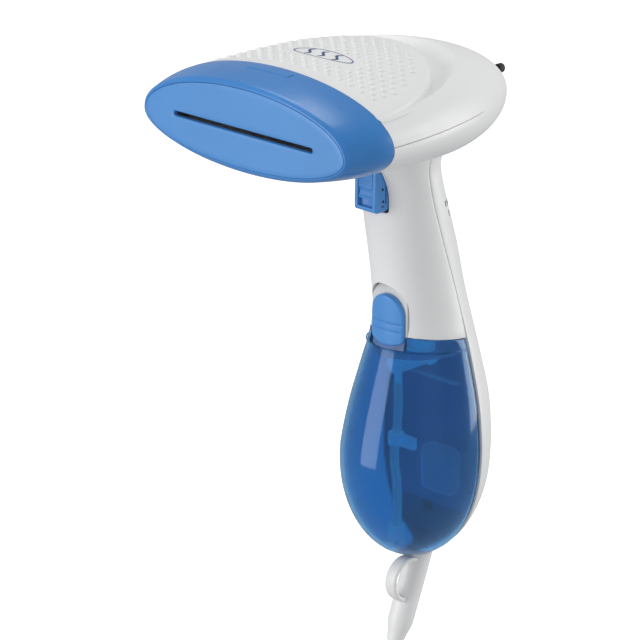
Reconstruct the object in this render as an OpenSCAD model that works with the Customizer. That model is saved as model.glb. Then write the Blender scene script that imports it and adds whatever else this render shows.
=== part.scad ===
// Hand held garment steamer: steam head, handle, clip-on water tank and mains lead.
// Millimetres, +Z up, steam leaves towards -Y. The origin is the middle of the hand grip.

/* [Steam head] */
// Width of the head at the nozzle's rear edge
head_w = 149; // [130:1:180]
// Height of the head at the nozzle's rear edge
head_h = 48; // [44:1:58]
// Length of the white head behind the nozzle
head_len = 137; // [125:1:165]
// Width of the flat steam face
face_w = 132; // [110:1:132]
// Height of the flat steam face
face_h = 40; // [34:1:42]
// Depth of the blue nozzle, front to back
nozzle_d = 25; // [20:1:32]
// Width of the steam slot
slot_w = 93; // [70:1:100]
// Height of the steam slot
slot_h = 2.6; // [2:0.2:4]
// Height of the head's seam above the grip's middle
head_z = 85; // [84:1:100]
// Wall thickness of the white and blue mouldings
wall = 2.2; // [1.8:0.1:2.8]

/* [Handle] */
// Width of the grip
grip_w = 42; // [40:1:52]
// Depth of the grip, front to back
grip_d = 48; // [46:1:58]
// Width of the trigger
trigger_w = 14.4; // [12:0.2:18]
// Height of the trigger's visible part
trigger_h = 29; // [25:1:30]
// Full travel of the thumb latch
latch_travel = 4.5; // [3:0.5:5]
// Width of the thumb latch
latch_w = 22; // [18:1:24]
// Travel of the heat selector
selector_travel = 5; // [4:0.5:6]

/* [Water tank] */
// Width of the water tank
tank_w = 72; // [62:1:88]
// Depth of tank and handle spine together
tank_d = 83; // [74:1:100]
// Distance from the grip's middle down to the tank's lowest point
tank_drop = 167; // [158:1:190]
// Wall thickness of the clear tank
tank_wall = 2; // [1.6:0.1:2.6]
// Radius of the tank's outlet spigot
spigot_r = 5; // [4:0.5:5.5]
// Radius of the fill hole
fill_r = 5; // [4:0.5:6]

/* [Boiler and pump] */
// Width of the aluminium boiler
boiler_w = 84; // [66:1:88]
// Length of the boiler, front to back
boiler_l = 58; // [48:1:62]
// Height of the boiler block without its lid
boiler_h = 19; // [16:1:22]
// Radius of the pump's coil
pump_r = 10; // [8:0.5:12]
// Length of the pump
pump_l = 30; // [24:1:34]

/* [Lead] */
// Diameter of the mains lead
cord_d = 7; // [6:0.5:8]
// Radius of the strain relief sleeve
relief_r = 6.8; // [6:0.2:8]
// Length of the strain relief sleeve
relief_l = 56; // [40:1:60]
// Inner radius of the hanging hook
hook_r = 12; // [10:0.5:14]
// Width of the hook's flat band
hook_w = 7; // [5:0.5:9]

/* [Hidden] */
$fn = 48;
eps = 0.01;
rub = 0.05;                 // running clearance of a round fit
gap = 0.4;                  // clearance between mouldings that move apart
hair = 0.1;                 // joint line between mouldings that are screwed together

// Places along the head
nose_y = -92.5;             // rear edge of the nozzle
face_y = nose_y - nozzle_d; // flat steam face
plate_t = 2.4;              // thickness of the face plate
belly = 6;                  // how much deeper the head is over the handle
crest = 3.5;                // how much higher the head is over the handle

// Shape of handle and tank: height, centre, bulge from grip to tank, waist
knots = [
    [62, -15, 0, 0], [45, -11, 0, -3.5], [35, -8, 0, -4.5], [20, -5, 0, -2], [0, 0, 0, 0],
    [-20, 4, 0.05, 0], [-40, 7.5, 0.18, 0], [-62, 7, 0.52, 0], [-82, 6, 0.82, 0],
    [-104, 4, 1, 0], [-114, 3.5, 1, 0]
];
// Line between front and back mouldings: height and depth
seam_knots = [[62, -13], [34, -9], [12, -2], [-20, 9], [-46, 15], [-94, 16.5], [-136, 15], [-170, 13]];
round_z = -112;             // below this the tank closes as an ellipse
edge_z = -44;               // handle's lower edge at depth 0
edge_lean = -0.16;          // the edge drops towards the back

function mix(a, b, t) = a + (b - a) * t;
function ease(t) = let (c = max(0, min(1, t))) c * c * (3 - 2 * c);
// Smooth value between the knots of a table, falling in height
function hermite(a, b, ma, mb, t) =
    (2*t*t*t - 3*t*t + 1)*a + (t*t*t - 2*t*t + t)*ma + (3*t*t - 2*t*t*t)*b + (t*t*t - t*t)*mb;
function slope(k, i, c) = i == 0 || i == len(k) - 1 ? 0
    : (k[i + 1][c] - k[i - 1][c]) / (k[i + 1][0] - k[i - 1][0]);
function place(k, z) = let (f = [for (i = [0:len(k) - 2]) if (z <= k[i][0] && z >= k[i + 1][0]) i])
    len(f) > 0 ? f[0] : (z > k[0][0] ? 0 : len(k) - 2);
function along(k, z, c) = let (i = place(k, z), h = k[i + 1][0] - k[i][0],
    t = max(0, min(1, (z - k[i][0]) / h)))
    hermite(k[i][c], k[i + 1][c], slope(k, i, c) * h, slope(k, i + 1, c) * h, t);

round_h = tank_drop + round_z;
function shrink(z) = z > round_z ? 1 : sqrt(max(0, 1 - pow((z - round_z) / round_h, 2)));
function mid_y(z) = along(knots, z, 1);
function half_w(z) = (grip_w + along(knots, z, 2) * (tank_w - grip_w)) / 2 * shrink(z);
function half_d(z) = ((grip_d + along(knots, z, 2) * (tank_d - grip_d)) / 2 + along(knots, z, 3)) * shrink(z);
function seam_y(z) = min(along(seam_knots, z, 1), mid_y(z) + 0.62 * half_d(z));
function edge_at(y) = edge_z + edge_lean * y;

// Head outline: half width and half heights at a depth y
function head_t(y) = max(0, min(1, (y - nose_y) / head_len));
function head_half(y) = head_w / 2 * sqrt(1 - pow(head_t(y), 2));
function head_up(y) = (head_h / 2 + crest * ease((y - nose_y) / 60)) * sqrt(1 - pow(head_t(y), 3));
function head_down(y) = (head_h / 2 + belly * ease((y - nose_y) / 80)) * sqrt(1 - pow(head_t(y), 5));
function under(x, y) = head_z - head_down(y) * sqrt(max(0, 1 - pow(x / head_half(y), 2)));

// One row of a section: angle a runs from the front, a1 to a2 in m steps
function row(z, t, y_off, back, m) = let (
    w = half_w(z) - t, d = half_d(z) - t, c = mid_y(z),
    cut = acos(max(-1, min(1, (c - seam_y(z) - y_off) / d))),
    a1 = back ? cut : -cut, a2 = back ? 360 - cut : cut)
    [for (j = [0:m]) let (a = mix(a1, a2, j / m)) [w * sin(a), c - d * cos(a), z]];

// Faces of a shell between an outer and an inner grid of rows
function net(n, m, base, turn, wrap) = [for (i = [0:n - 2], j = [0:(wrap ? m - 1 : m - 2)])
    let (a = base + i * m + j, b = base + i * m + (j + 1) % m, c = b + m, d = a + m)
    turn ? [a, d, c, b] : [a, b, c, d]];
function rim(m, o, i, turn, wrap) = [for (j = [0:(wrap ? m - 1 : m - 2)])
    let (a = o + j, b = o + (j + 1) % m, c = i + (j + 1) % m, d = i + j)
    turn ? [a, b, c, d] : [a, d, c, b]];
module shell(outer, inner, wrap = false, cap = false, turn = false) {
    n = len(outer);
    m = len(outer[0]);
    o = 0;
    i = n * m;
    oe = o + (n - 1) * m;
    ie = i + (n - 1) * m;
    sides = wrap ? [] : [for (k = [0:n - 2]) each let (a = o + k * m, b = i + k * m) [
        turn ? [a, b, b + m, a + m] : [a, a + m, b + m, b],
        turn ? [a + m - 1, a + 2 * m - 1, b + 2 * m - 1, b + m - 1]
             : [a + m - 1, b + m - 1, b + 2 * m - 1, a + 2 * m - 1]]];
    lid_o = [for (j = [0:m - 1]) oe + (turn ? m - 1 - j : j)];
    lid_i = [for (j = [0:m - 1]) ie + (turn ? j : m - 1 - j)];
    foot = turn ? [oe, ie, ie + m - 1, oe + m - 1] : [oe, oe + m - 1, ie + m - 1, ie];
    ends = cap ? concat([lid_o, lid_i], wrap ? [] : [foot]) : rim(m, oe, ie, !turn, wrap);
    polyhedron(
        points = concat([for (r = outer) each r], [for (r = inner) each r]),
        faces = concat(net(n, m, o, turn, wrap), net(n, m, i, !turn, wrap),
            rim(m, o, i, turn, wrap), ends, sides), convexity = 8);
}
// Closed solid through a stack of rows
module stack(rows, turn = false) {
    n = len(rows);
    m = len(rows[0]);
    bottom = [for (j = [0:m - 1]) turn ? j : m - 1 - j];
    top = [for (j = [0:m - 1]) (n - 1) * m + (turn ? m - 1 - j : j)];
    polyhedron(points = [for (r = rows) each r],
        faces = concat(net(n, m, 0, turn, true), [bottom, top]), convexity = 6);
}

// Smooth line through hand placed points, k steps between neighbours
function pick(p, i) = p[max(0, min(len(p) - 1, i))];
function spline(p, k) = concat([for (i = [0:len(p) - 2], s = [0:k - 1]) let (t = s / k,
    a = pick(p, i - 1), b = p[i], c = p[i + 1], d = pick(p, i + 2))
    (2*b + (c - a)*t + (2*a - 5*b + 4*c - d)*t*t + (3*b - a - 3*c + d)*t*t*t) / 2], [p[len(p) - 1]]);
function unit(v) = v / norm(v);
function heading(p, i) = unit(pick(p, i + 1) - pick(p, i - 1));
// Round tube swept along a line that never runs along X
module tube(p, r, sides = 8) {
    rows = [for (i = [0:len(p) - 1]) let (t = heading(p, i), u = unit(cross(t, [1, 0, 0])), v = cross(t, u))
        [for (j = [0:sides - 1]) let (a = 360 * j / sides) p[i] + r * (cos(a) * u + sin(a) * v)]];
    stack(rows, true);
}
// Helical spring along Z from z1 to z2, without flat ends
module spring(r, wire, z1, z2, turns) {
    steps = turns * 10;
    p = [for (i = [0:steps]) let (a = 360 * turns * i / steps) [r * cos(a), r * sin(a), mix(z1, z2, i / steps)]];
    rows = [for (i = [0:steps]) let (a = 360 * turns * i / steps, o = [cos(a), sin(a), 0])
        [for (j = [0:5]) let (b = 60 * j) p[i] + wire * (cos(b) * o + sin(b) * [0, 0, 1])]];
    stack(rows);
}
module bar_x(r, x1, x2) { translate([x1, 0, 0]) rotate([0, 90, 0]) cylinder(r = r, h = x2 - x1); }
module bar_y(r, y1, y2) { translate([0, y2, 0]) rotate([90, 0, 0]) cylinder(r = r, h = y2 - y1); }
module slab(x1, x2, y1, y2, z1, z2) { translate([x1, y1, z1]) cube([x2 - x1, y2 - y1, z2 - z1]); }
module oval_y(a, b, y1, y2) {
    translate([0, y2, head_z]) rotate([90, 0, 0]) linear_extrude(y2 - y1)
        polygon([for (i = [0:95]) [a * cos(3.75 * i), b * sin(3.75 * i)]]);
}

// Steam head
head_steps = 12;
function head_row(y, t, top, m) = let (w = head_half(y) - t, h = (top ? head_up(y) : head_down(y)) - t)
    [for (j = [0:m]) let (a = 180 * j / m) [w * cos(a), y, head_z + (top ? h : -h) * sin(a)]];
function head_rows(t, top) = [for (i = [0:head_steps])
    head_row(nose_y + (head_len - t) * sin(84 * i / head_steps), t, top, 20)];

nozzle_steps = 5;
function nozzle_rows(t) = [for (i = [0:nozzle_steps]) let (s = i / nozzle_steps, e = sin(90 * s),
    a = mix(face_w, head_w, e) / 2 - t, b = mix(face_h, head_h, e) / 2 - t)
    [for (j = [0:47]) [a * cos(7.5 * j), mix(face_y + 0.3, nose_y - hair, s), head_z + b * sin(7.5 * j)]]];

module nozzle_shell() {
    color("royalblue") shell(nozzle_rows(0), nozzle_rows(wall), wrap = true);
}
module face_plate() {
    color("cornflowerblue") difference() {
        oval_y(face_w / 2 - wall - hair, face_h / 2 - wall - hair, face_y, face_y + plate_t);
        for (s = [-1, 1]) translate([s * (slot_w - slot_h) / 2, 0, head_z]) bar_y(slot_h / 2, face_y - 1, face_y + plate_t + 1);
        slab(-(slot_w - slot_h) / 2, (slot_w - slot_h) / 2, face_y - 1, face_y + plate_t + 1, head_z - slot_h / 2, head_z + slot_h / 2);
    }
}
module head_top_shell() {
    color("white") translate([0, 0, hair / 2]) shell(head_rows(0, true), head_rows(wall, true), cap = true);
}
neck_w = 15;                // half width of the passage from handle to head
module head_lower_shell() {
    color("white") difference() {
        translate([0, 0, -hair / 2]) shell(head_rows(0, false), head_rows(wall, false), cap = true, turn = true);
        translate([0, mid_y(54), 40]) cylinder(r = neck_w, h = 40);
    }
}
foot_x = 20;                // places of the two rubber rest feet
foot_y = nose_y + head_len * sqrt(1 - pow(foot_x / (head_w / 2), 2));
foot_r = 2.4;
module rest_feet() {
    color("black") for (s = [-1, 1]) translate([s * foot_x, foot_y + hair, head_z + foot_r + 0.4]) {
        bar_y(foot_r, 0, 3);
        bar_y(foot_r - 0.8, 3 - eps, 3.8);
    }
}

// Handle
front_z = [edge_z, -36, -28, -20, -8, 4, 14, 22, 30, 37, 44, 50];
top_z = 54;
function lift(r) = [for (p = r) [p[0], p[1], under(p[0], p[1]) - hair]];
function lean(r, d) = [for (p = r) [p[0], p[1], edge_at(p[1]) - d]];
function front_rows(t) = [for (i = [0:len(front_z)]) i == len(front_z)
    ? lift(row(top_z, t, -hair / 2, false, 24))
    : let (r = row(front_z[i], t, -hair / 2, false, 24)) i == 0 ? lean(r, 0) : r];
scoop_r = latch_w / 2 + 1.3;
scoop_z = -27;
trig_hole = trigger_w / 2 + gap;
trigger_z = 26.2;           // lowest point of the trigger
module handle_front_shell() {
    color("white") difference() {
        shell(front_rows(0), front_rows(wall), turn = true);
        translate([0, 0, scoop_z]) bar_y(scoop_r, -40, -8);
        slab(-scoop_r, scoop_r, -40, -8, edge_z - 10, scoop_z);
        slab(-trig_hole, trig_hole, -50, -16, trigger_z - 1, trigger_z + trigger_h);
    }
}
back_z = [50, 44, 37, 30, 22, 12, 0, -12, -24, -36, -46, -58, -70, -84, -98, round_z];
round_steps = 6;
function back_rows(t) = concat(
    [lift(row(top_z, t, hair / 2, true, 20))],
    [for (z = back_z) row(z, t, hair / 2, true, 20)],
    [for (i = [1:round_steps]) let (s = sin(80 * i / round_steps), z = round_z - round_h * s)
        [for (p = row(z, t * (1 - 0.5 * s), hair / 2, true, 20)) [p[0], p[1], round_z - (round_h - t) * s]]]);
// Line that the lead leaves the spine on: it falls forwards
lead_dir = [0, -0.37, -0.93];
lead_turn = atan2(0.37, 0.93);
gland_at = [0, 8, -162];
module along_lead(d) { translate(gland_at + d * lead_dir) rotate([-lead_turn, 0, 0]) mirror([0, 0, 1]) children(); }
selector_z = 23;            // middle of the selector's travel
selector_tilt = 20;         // lean of the handle's back there
selector_w = 7;
selector_h = 8;
module at_selector(d) {
    translate([0, mid_y(selector_z) + half_d(selector_z), selector_z]) rotate([selector_tilt, 0, 0])
        translate([0, d, 0]) children();
}
module handle_back_shell() {
    color("white") difference() {
        shell(back_rows(0), back_rows(wall), cap = true);
        along_lead(-14) cylinder(r = relief_r + hair, h = 40);
        at_selector(0) slab(-selector_w / 2 - gap, selector_w / 2 + gap, -8, 4,
            -(selector_h + selector_travel) / 2 - gap, (selector_h + selector_travel) / 2 + gap);
    }
}
// Closes the spine towards the tank, with the water inlet through it
liner_z = [-47, -60, -76, -94, -112, -128, -142];
liner_gap = 0.8;
liner_t = 1.8;
inlet_z = -60;
spigot_y = 10;              // length of the spigot behind the tank's rear wall
module spine_liner() {
    color("white") difference() {
        stack([for (z = liner_z) let (y = seam_y(z) + liner_gap, r = row(z, wall + hair, liner_gap + liner_t, true, 2),
            w = r[0][0]) [[-w, y, z], [w, y, z], [w, y + liner_t, z], [-w, y + liner_t, z]]], false);
        translate([0, 0, inlet_z]) bar_y(spigot_r + gap, 0, 40);
    }
}
floor_z = -37;
module handle_floor() {
    front = row(floor_z, wall + 2 * gap, 0, false, 20);
    back = row(floor_z, wall + 2 * gap, 0, true, 20);
    color("whitesmoke") difference() {
        translate([0, 0, floor_z]) linear_extrude(2)
            polygon([for (p = concat(front, back)) if (p[1] > -12) [p[0], p[1]]]);
        translate([0, 12, floor_z - 1]) cylinder(r = 6, h = 4);
        translate([-11.3, 24, floor_z - 1]) cylinder(r = 4, h = 4);
    }
}

// Thumb latch and what it slides in
latch_y = -20.6;            // front of the latch at its middle
latch_top = -21;
latch_low = -47.4;
guide_y = -16.4;
guide_t = 1.5;
tongue_w = 7.6;
slot_top = -23.5;
module latch_guide() {
    color("white") difference() {
        intersection() {
            union() {
                translate([0, 0, scoop_z]) bar_y(scoop_r - hair, guide_y, guide_y + guide_t);
                slab(-scoop_r + hair, scoop_r - hair, guide_y, guide_y + guide_t, -41.8, scoop_z);
            }
            slab(-20, 20, -30, 0, -60, -10);
        }
        slab(-tongue_w / 2 - 0.2, tongue_w / 2 + 0.2, -30, 0, -41.9, slot_top);
    }
}
module tank_latch() {
    r = latch_w / 2;
    color("cornflowerblue") difference() {
        union() {
            intersection() {
                union() {
                    translate([0, 0, latch_top - r]) bar_y(r, latch_y - 1, guide_y - gap);
                    slab(-r, r, latch_y - 1, guide_y - gap, latch_low, latch_top - r);
                }
                translate([0, latch_y + 26, latch_low - 1]) cylinder(r = 26, h = 40);
            }
            slab(-tongue_w / 2, tongue_w / 2, guide_y - gap - 1, guide_y + guide_t + 3, -41.5, -34);
        }
        for (z = [-35.5, -39.5]) slab(-r + 1, r - 1, latch_y - 2, latch_y + 0.6, z, z + 1.2);
    }
}
spring_low = -33.8;
spring_top = -22.4;
module latch_spring() {
    color("silver") translate([0, guide_y + guide_t + 2.4, 0]) spring(1.6, 0.3, spring_low + 0.4, spring_top - 0.4, 6);
}
module latch_anchor() {
    color("white") slab(-3, 3, guide_y + guide_t, guide_y + guide_t + 5, spring_top, spring_top + 2);
}

// Trigger, its lock and its pivot
pivot = [-24, 50];
pin_r = 1.5;
trigger_y = -34.8;          // front face of the trigger
trigger_back = -25;         // where its lower back edge lies
lock_w = trigger_w - 5;
lock_z = 32;
lock_l = 17;
lock_travel = 3.6;
groove_d = 2.6;
module trigger() {
    top = trigger_z + trigger_h - 1.6;
    color("royalblue") difference() {
        translate([-trigger_w / 2, 0, 0]) rotate([90, 0, 90]) linear_extrude(trigger_w)
            polygon([[trigger_y, trigger_z], [trigger_y + 0.3, top - 6], [trigger_y + 2.5, top], [pivot[0] - 2, top],
                for (a = [80:-20:-40]) [pivot[0] + 4 * cos(a), pivot[1] + 4 * sin(a)],
                [pivot[0] + 1, pivot[1] - 9], [trigger_back, trigger_z]]);
        translate([0, pivot[0], pivot[1]]) bar_x(pin_r + rub, -20, 20);
        slab(-lock_w / 2 - 0.3, lock_w / 2 + 0.3, trigger_y - 1, trigger_y + groove_d, trigger_z + 1.8, lock_z + lock_l + 0.4);
        slab(-3.4, 3.4, pivot[0] - 4, pivot[0] + 6, pivot[1] - 4.4, top + 1);
    }
}
module trigger_lock() {
    y = trigger_y + groove_d - 0.3;
    color("cornflowerblue") difference() {
        slab(-lock_w / 2, lock_w / 2, y - 2, y, lock_z, lock_z + lock_l);
        for (k = [0:5]) slab(-lock_w / 2 + 1, lock_w / 2 - 1, y - 3, y - 1.7, lock_z + 4 + 2 * k, lock_z + 4.7 + 2 * k);
    }
}
bracket_w = 24;
module trigger_pin() {
    color("silver") translate([0, pivot[0], pivot[1]]) bar_x(pin_r, -bracket_w / 2 + 1, bracket_w / 2 - 1);
}
module trigger_spring() {
    color("silver") translate([0, pivot[0], pivot[1]]) rotate([0, 90, 0]) spring(2.4, 0.4, -2.6, 2.6, 5);
}
module trigger_bracket() {
    arm = trigger_w / 2 + 0.5;
    color("whitesmoke") difference() {
        union() {
            for (s = [-1, 1]) translate([s * (arm + bracket_w / 2) / 2, 0, 0])
                slab(-(bracket_w / 2 - arm) / 2, (bracket_w / 2 - arm) / 2, pivot[0] - 1.5, pivot[0] + 7, 47, 53);
            slab(-bracket_w / 2, bracket_w / 2, pivot[0] + 5, pivot[0] + 7, 47, 53);
        }
        translate([0, pivot[0], pivot[1]]) bar_x(pin_r + 0.01, -20, 20);
    }
}
// Small switch behind the trigger
plunger_r = 1.5;
plunger_travel = 3;
micro_z = 30;
module microswitch() {
    color("dimgray") translate([0, 0, micro_z]) difference() {
        slab(-3.2, 3.2, -19, -8, -5, 5);
        bar_y(plunger_r + rub, -20, -11);
    }
}
module switch_plunger() {
    color("firebrick") translate([0, 0, micro_z]) bar_y(plunger_r, trigger_back + 1.1, -15.5);
}
// Heat selector on the handle's back
module selector_switch() {
    color("dimgray") at_selector(0) slab(-5, 5, -8.5, -4.2, -7, 7);
}
module heat_selector() {
    color("black") at_selector(0) translate([0, 0, -selector_travel / 2]) difference() {
        union() {
            slab(-selector_w / 2, selector_w / 2, -1.6, 2, -selector_h / 2, selector_h / 2);
            slab(-2, 2, -4, -1.5, -2, 2);
        }
        for (z = [-2.4:1.6:2.4]) slab(-selector_w, selector_w, 1.3, 3, z - 0.35, z + 0.35);
    }
}

// Pump
pump_z = -3;
pump_y = 1;
tube_r = 4;
piston_r = 2.8;
module at_pump() { translate([0, pump_y, pump_z]) children(); }
module pump_coil() {
    color("goldenrod") at_pump() translate([0, 0, -pump_l / 2]) difference() {
        cylinder(r = pump_r, h = pump_l);
        translate([0, 0, -1]) cylinder(r = tube_r + hair, h = pump_l + 2);
    }
}
module pump_tube() {
    color("ivory") at_pump() difference() {
        union() {
            translate([0, 0, -pump_l / 2 - 4]) cylinder(r = tube_r, h = pump_l + 8);
            for (s = [-1, 1]) translate([0, 0, s * (pump_l / 2 + 1) - 0.9]) cylinder(r = tube_r + 2, h = 1.8);
        }
        translate([0, 0, -pump_l / 2 + 2]) cylinder(r = piston_r + rub, h = pump_l - 4);
        translate([0, 0, -pump_l]) cylinder(r = 1.2, h = 2 * pump_l);
    }
}
module pump_piston() {
    color("silver") at_pump() translate([0, 0, -pump_l / 2 + 3]) cylinder(r = piston_r, h = pump_l - 12);
}

// Boiler
boil_y = nose_y + 6;
boil_z = head_z - 13;
nipple_x = 10;
outlet_r = 6;
module boiler_body() {
    color("silver") translate([0, boil_y, boil_z]) difference() {
        union() {
            slab(-boiler_w / 2 + 6, boiler_w / 2 - 6, 0, boiler_l, 0, boiler_h);
            slab(-boiler_w / 2, boiler_w / 2, 6, boiler_l - 10, 0, boiler_h);
        }
        slab(-boiler_w / 2 + 10, boiler_w / 2 - 10, 5, boiler_l - 8, 7, boiler_h + 1);
        translate([0, 0, 12]) bar_y(outlet_r, -1, 6);
        translate([nipple_x, 0, 12]) bar_y(2.6, boiler_l - 10, boiler_l + 1);
    }
}
module boiler_lid() {
    color("gainsboro") translate([0, boil_y, boil_z + boiler_h])
        slab(-boiler_w / 2 + 7, boiler_w / 2 - 7, 1, boiler_l - 1, 0, 2);
}
module inlet_nipple() {
    color("gold") translate([nipple_x, boil_y + boiler_l, boil_z + 12]) difference() {
        union() {
            bar_y(2.6, -6, 0.5);
            bar_y(4, 0, 2);
            bar_y(2.2, 1.5, 9);
        }
        bar_y(1.1, -7, 10);
    }
}
module heating_element() {
    color("dimgray") translate([0, boil_y, boil_z - 3.4]) {
        for (s = [-1, 1]) translate([s * boiler_w / 4, 0, 0]) bar_y(3.2, 10, boiler_l + 4);
        translate([0, 10, 0]) difference() {
            rotate_extrude() translate([boiler_w / 4, 0]) circle(3.2);
            slab(-60, 60, 0, 60, -10, 10);
        }
    }
}
module steam_duct() {
    wide = slot_w / 2 + 3;
    y1 = face_y + plate_t + 1.6;
    y2 = boil_y;
    color("ivory") difference() {
        translate([0, 0, head_z - 7]) linear_extrude(14) polygon([[-wide, y1], [wide, y1], [wide, y1 + 8], [14, y2], [-14, y2], [-wide, y1 + 8]]);
        translate([0, 0, head_z - 5]) linear_extrude(10)
            polygon([[-wide + 2, y1 - 1], [wide - 2, y1 - 1], [wide - 2, y1 + 7], [11, y2 + 1], [-11, y2 + 1], [-wide + 2, y1 + 7]]);
    }
}
module slot_seal() {
    wide = slot_w / 2 + 3;
    y1 = face_y + plate_t;
    color("gray") difference() {
        slab(-wide, wide, y1, y1 + 1.6, head_z - 7, head_z + 7);
        slab(-wide + 3, wide - 3, y1 - 1, y1 + 3, head_z - 4, head_z + 4);
    }
}
module thermostat() {
    color("lightgray") translate([-18, boil_y + 26, boil_z + boiler_h + 2]) {
        cylinder(r = 8, h = 2);
        translate([0, 0, 2 - eps]) cylinder(r = 6, h = 1.6);
    }
}
module thermal_fuse() {
    color("whitesmoke") translate([18, boil_y + 14, boil_z + boiler_h + 4.2]) {
        bar_y(2, 0, 22);
        bar_y(0.6, -4, 26);
    }
}
module boiler_screws() {
    color("silver") for (x = [-1, 1], y = [4.5, boiler_l - 4.5])
        translate([x * (boiler_w / 2 - 12), boil_y + y, boil_z + boiler_h + 2]) cylinder(r = 2.4, h = 1.8);
}

// Hoses and inner leads
hose_r = 2.6;
socket_y = seam_y(inlet_z) + liner_gap + liner_t + 0.3;
socket_l = 8;
module inlet_socket() {
    color("ivory") translate([0, 0, inlet_z]) difference() {
        union() {
            bar_y(spigot_r + 2, socket_y, socket_y + socket_l);
            bar_y(spigot_r + 3.5, socket_y, socket_y + 2);
            bar_y(2, socket_y + socket_l - 1, 29.7);
        }
        bar_y(spigot_r + rub, 0, socket_y + socket_l - 2);
        bar_y(1, 0, 60);
    }
}
suction = [[0, 29.9, -60], [0, 32, -59.3], [0, 33, -55], [0, 30, -49], [0, 22, -43.5], [0, 13.5, -40], [0, 12, -36],
    [0, 9, -31], [0, 3, -28], [0, 1, -25], [0, 1, -22.2]];
module suction_hose() { color("lightgray") tube(spline(suction, 3), hose_r); }
delivery = [[0, 1, 16.2], [0, 1, 22], [4.8, 0, 32], [5.5, -3, 42], [6, -8, 54], [8, -10, 66], [10, -11, 78],
    [10, -14, 84], [10, -17, 84], [10, -19.4, 84]];
module delivery_hose() { color("lightgray") tube(spline(delivery, 3), hose_r); }
inner_lead = [[-4, 18, -149], [-9, 21, -140], [-13, 27, -122], [-13.5, 30, -100], [-13.5, 30, -76], [-13.5, 27, -56],
    [-13, 24, -38], [-pump_r - 4.5, 16, -22], [-pump_r - 5.5, 6, 0], [-14, -2, 22], [-12, -6, 44], [-11, -8, 58], [-13, -12, 68]];
module inner_leads() { color("gray") for (s = [0, 1]) tube([for (p = spline(inner_lead, 3)) p + [s * 3, 0, 0]], 1.1); }

// Tank and what is in it
function tank_row(z, t, g = gap) = row(z, t, -g - t, false, 24);
tank_z = [-50, -56, -63, -72, -82, -92, -102, round_z];
function tank_rows(t) = concat([lean(tank_row(edge_z, t), gap)], [for (z = tank_z) tank_row(z, t)],
    [for (i = [1:round_steps]) let (s = sin(80 * i / round_steps), z = round_z - round_h * s)
        [for (p = tank_row(z, t * (1 - 0.5 * s), gap + 3 * s * s)) [p[0], p[1], round_z - (round_h - t) * s]]]);
lid_z = -53.5;
rear_y = seam_y(inlet_z) - gap;
module water_tank() {
    color([0.1, 0.3, 0.65, 0.6]) difference() {
        shell(tank_rows(0), tank_rows(tank_wall), wrap = true, cap = true, turn = false);
        slab(-latch_w / 2 - gap, latch_w / 2 + gap, -60, 60, lid_z + 4.2, -20);
        translate([0, 0, inlet_z]) bar_y(spigot_r + rub, rear_y - 6, rear_y + 4);
    }
}
cap_at = [8, -2];
module tank_lid() {
    color([0.1, 0.3, 0.65, 0.6]) translate([0, 0, lid_z]) difference() {
        linear_extrude(2) polygon([for (p = row(-51, tank_wall + 0.2, -gap - tank_wall - 0.2, false, 24)) [p[0], p[1]]]);
        translate([cap_at[0], cap_at[1], -1]) cylinder(r = fill_r + rub, h = 4);
    }
}
module fill_cap() {
    color("deepskyblue") translate([cap_at[0], cap_at[1], lid_z + 2]) {
        translate([0, 0, -4.5]) cylinder(r = fill_r, h = 4.5 + eps);
        cylinder(r = fill_r + 2.2, h = 1.4);
        slab(-fill_r - 1, fill_r + 1, -1.5, 1.5, 1.4 - eps, 3.2);
    }
}
elbow_y = -9.6;
module outlet_valve() {
    color("lightsteelblue") translate([0, 0, inlet_z]) difference() {
        union() {
            bar_y(spigot_r, elbow_y - 3, rear_y + spigot_y - 2);
            bar_y(spigot_r + 1.2, rear_y - tank_wall - 2, rear_y - tank_wall - 0.2);
            translate([0, elbow_y, -10]) cylinder(r = 2, h = 8);
        }
        bar_y(2.4, elbow_y - 1, 60);
        translate([0, elbow_y, -11]) cylinder(r = 1, h = 10);
        difference() {
            bar_y(spigot_r + 1, rear_y + 6, rear_y + 7.6);
            bar_y(spigot_r - 1.3, 0, 60);
        }
    }
}
module valve_ring() {
    color("black") translate([0, rear_y + 6.8, inlet_z]) rotate([90, 0, 0])
        rotate_extrude() translate([spigot_r - 0.65, 0]) circle(0.6, $fn = 16);
}
pickup = [[0, elbow_y, -70.2], [0, -9.4, -84], [0, -10.5, -98], [0, -12, -110], [0, -10, -124], [0, -9.5, -138], [0, -10, -148]];
module pickup_hose() { color("lightblue") tube(spline(pickup, 3), 2.3); }
module pickup_weight() {
    color("slategray") translate([0, -10, -158]) difference() {
        cylinder(r = 4.6, h = 9.8);
        for (a = [0, 60, 120]) rotate(a) slab(-6, 6, -0.6, 0.6, -1, 3);
    }
}
module hose_clip() {
    color("deepskyblue") translate([0, -10.8, -103]) difference() {
        union() {
            slab(-4, 13, -1.5, 1.5, 0, 6);
            cylinder(r = 4.2, h = 6);
        }
        translate([0, 0, -1]) cylinder(r = 3.4, h = 8);
    }
}

// Screws from the back and along the spine
module shell_screws() {
    color("silver") for (z = [36, pump_z - pump_l / 2 - 10, -84, -126]) translate([0, mid_y(z) + half_d(z) - wall - 3.4, z]) {
        bar_y(1.4, -8, 0);
        bar_y(2.6, -eps, 2.2);
    }
}

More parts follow.
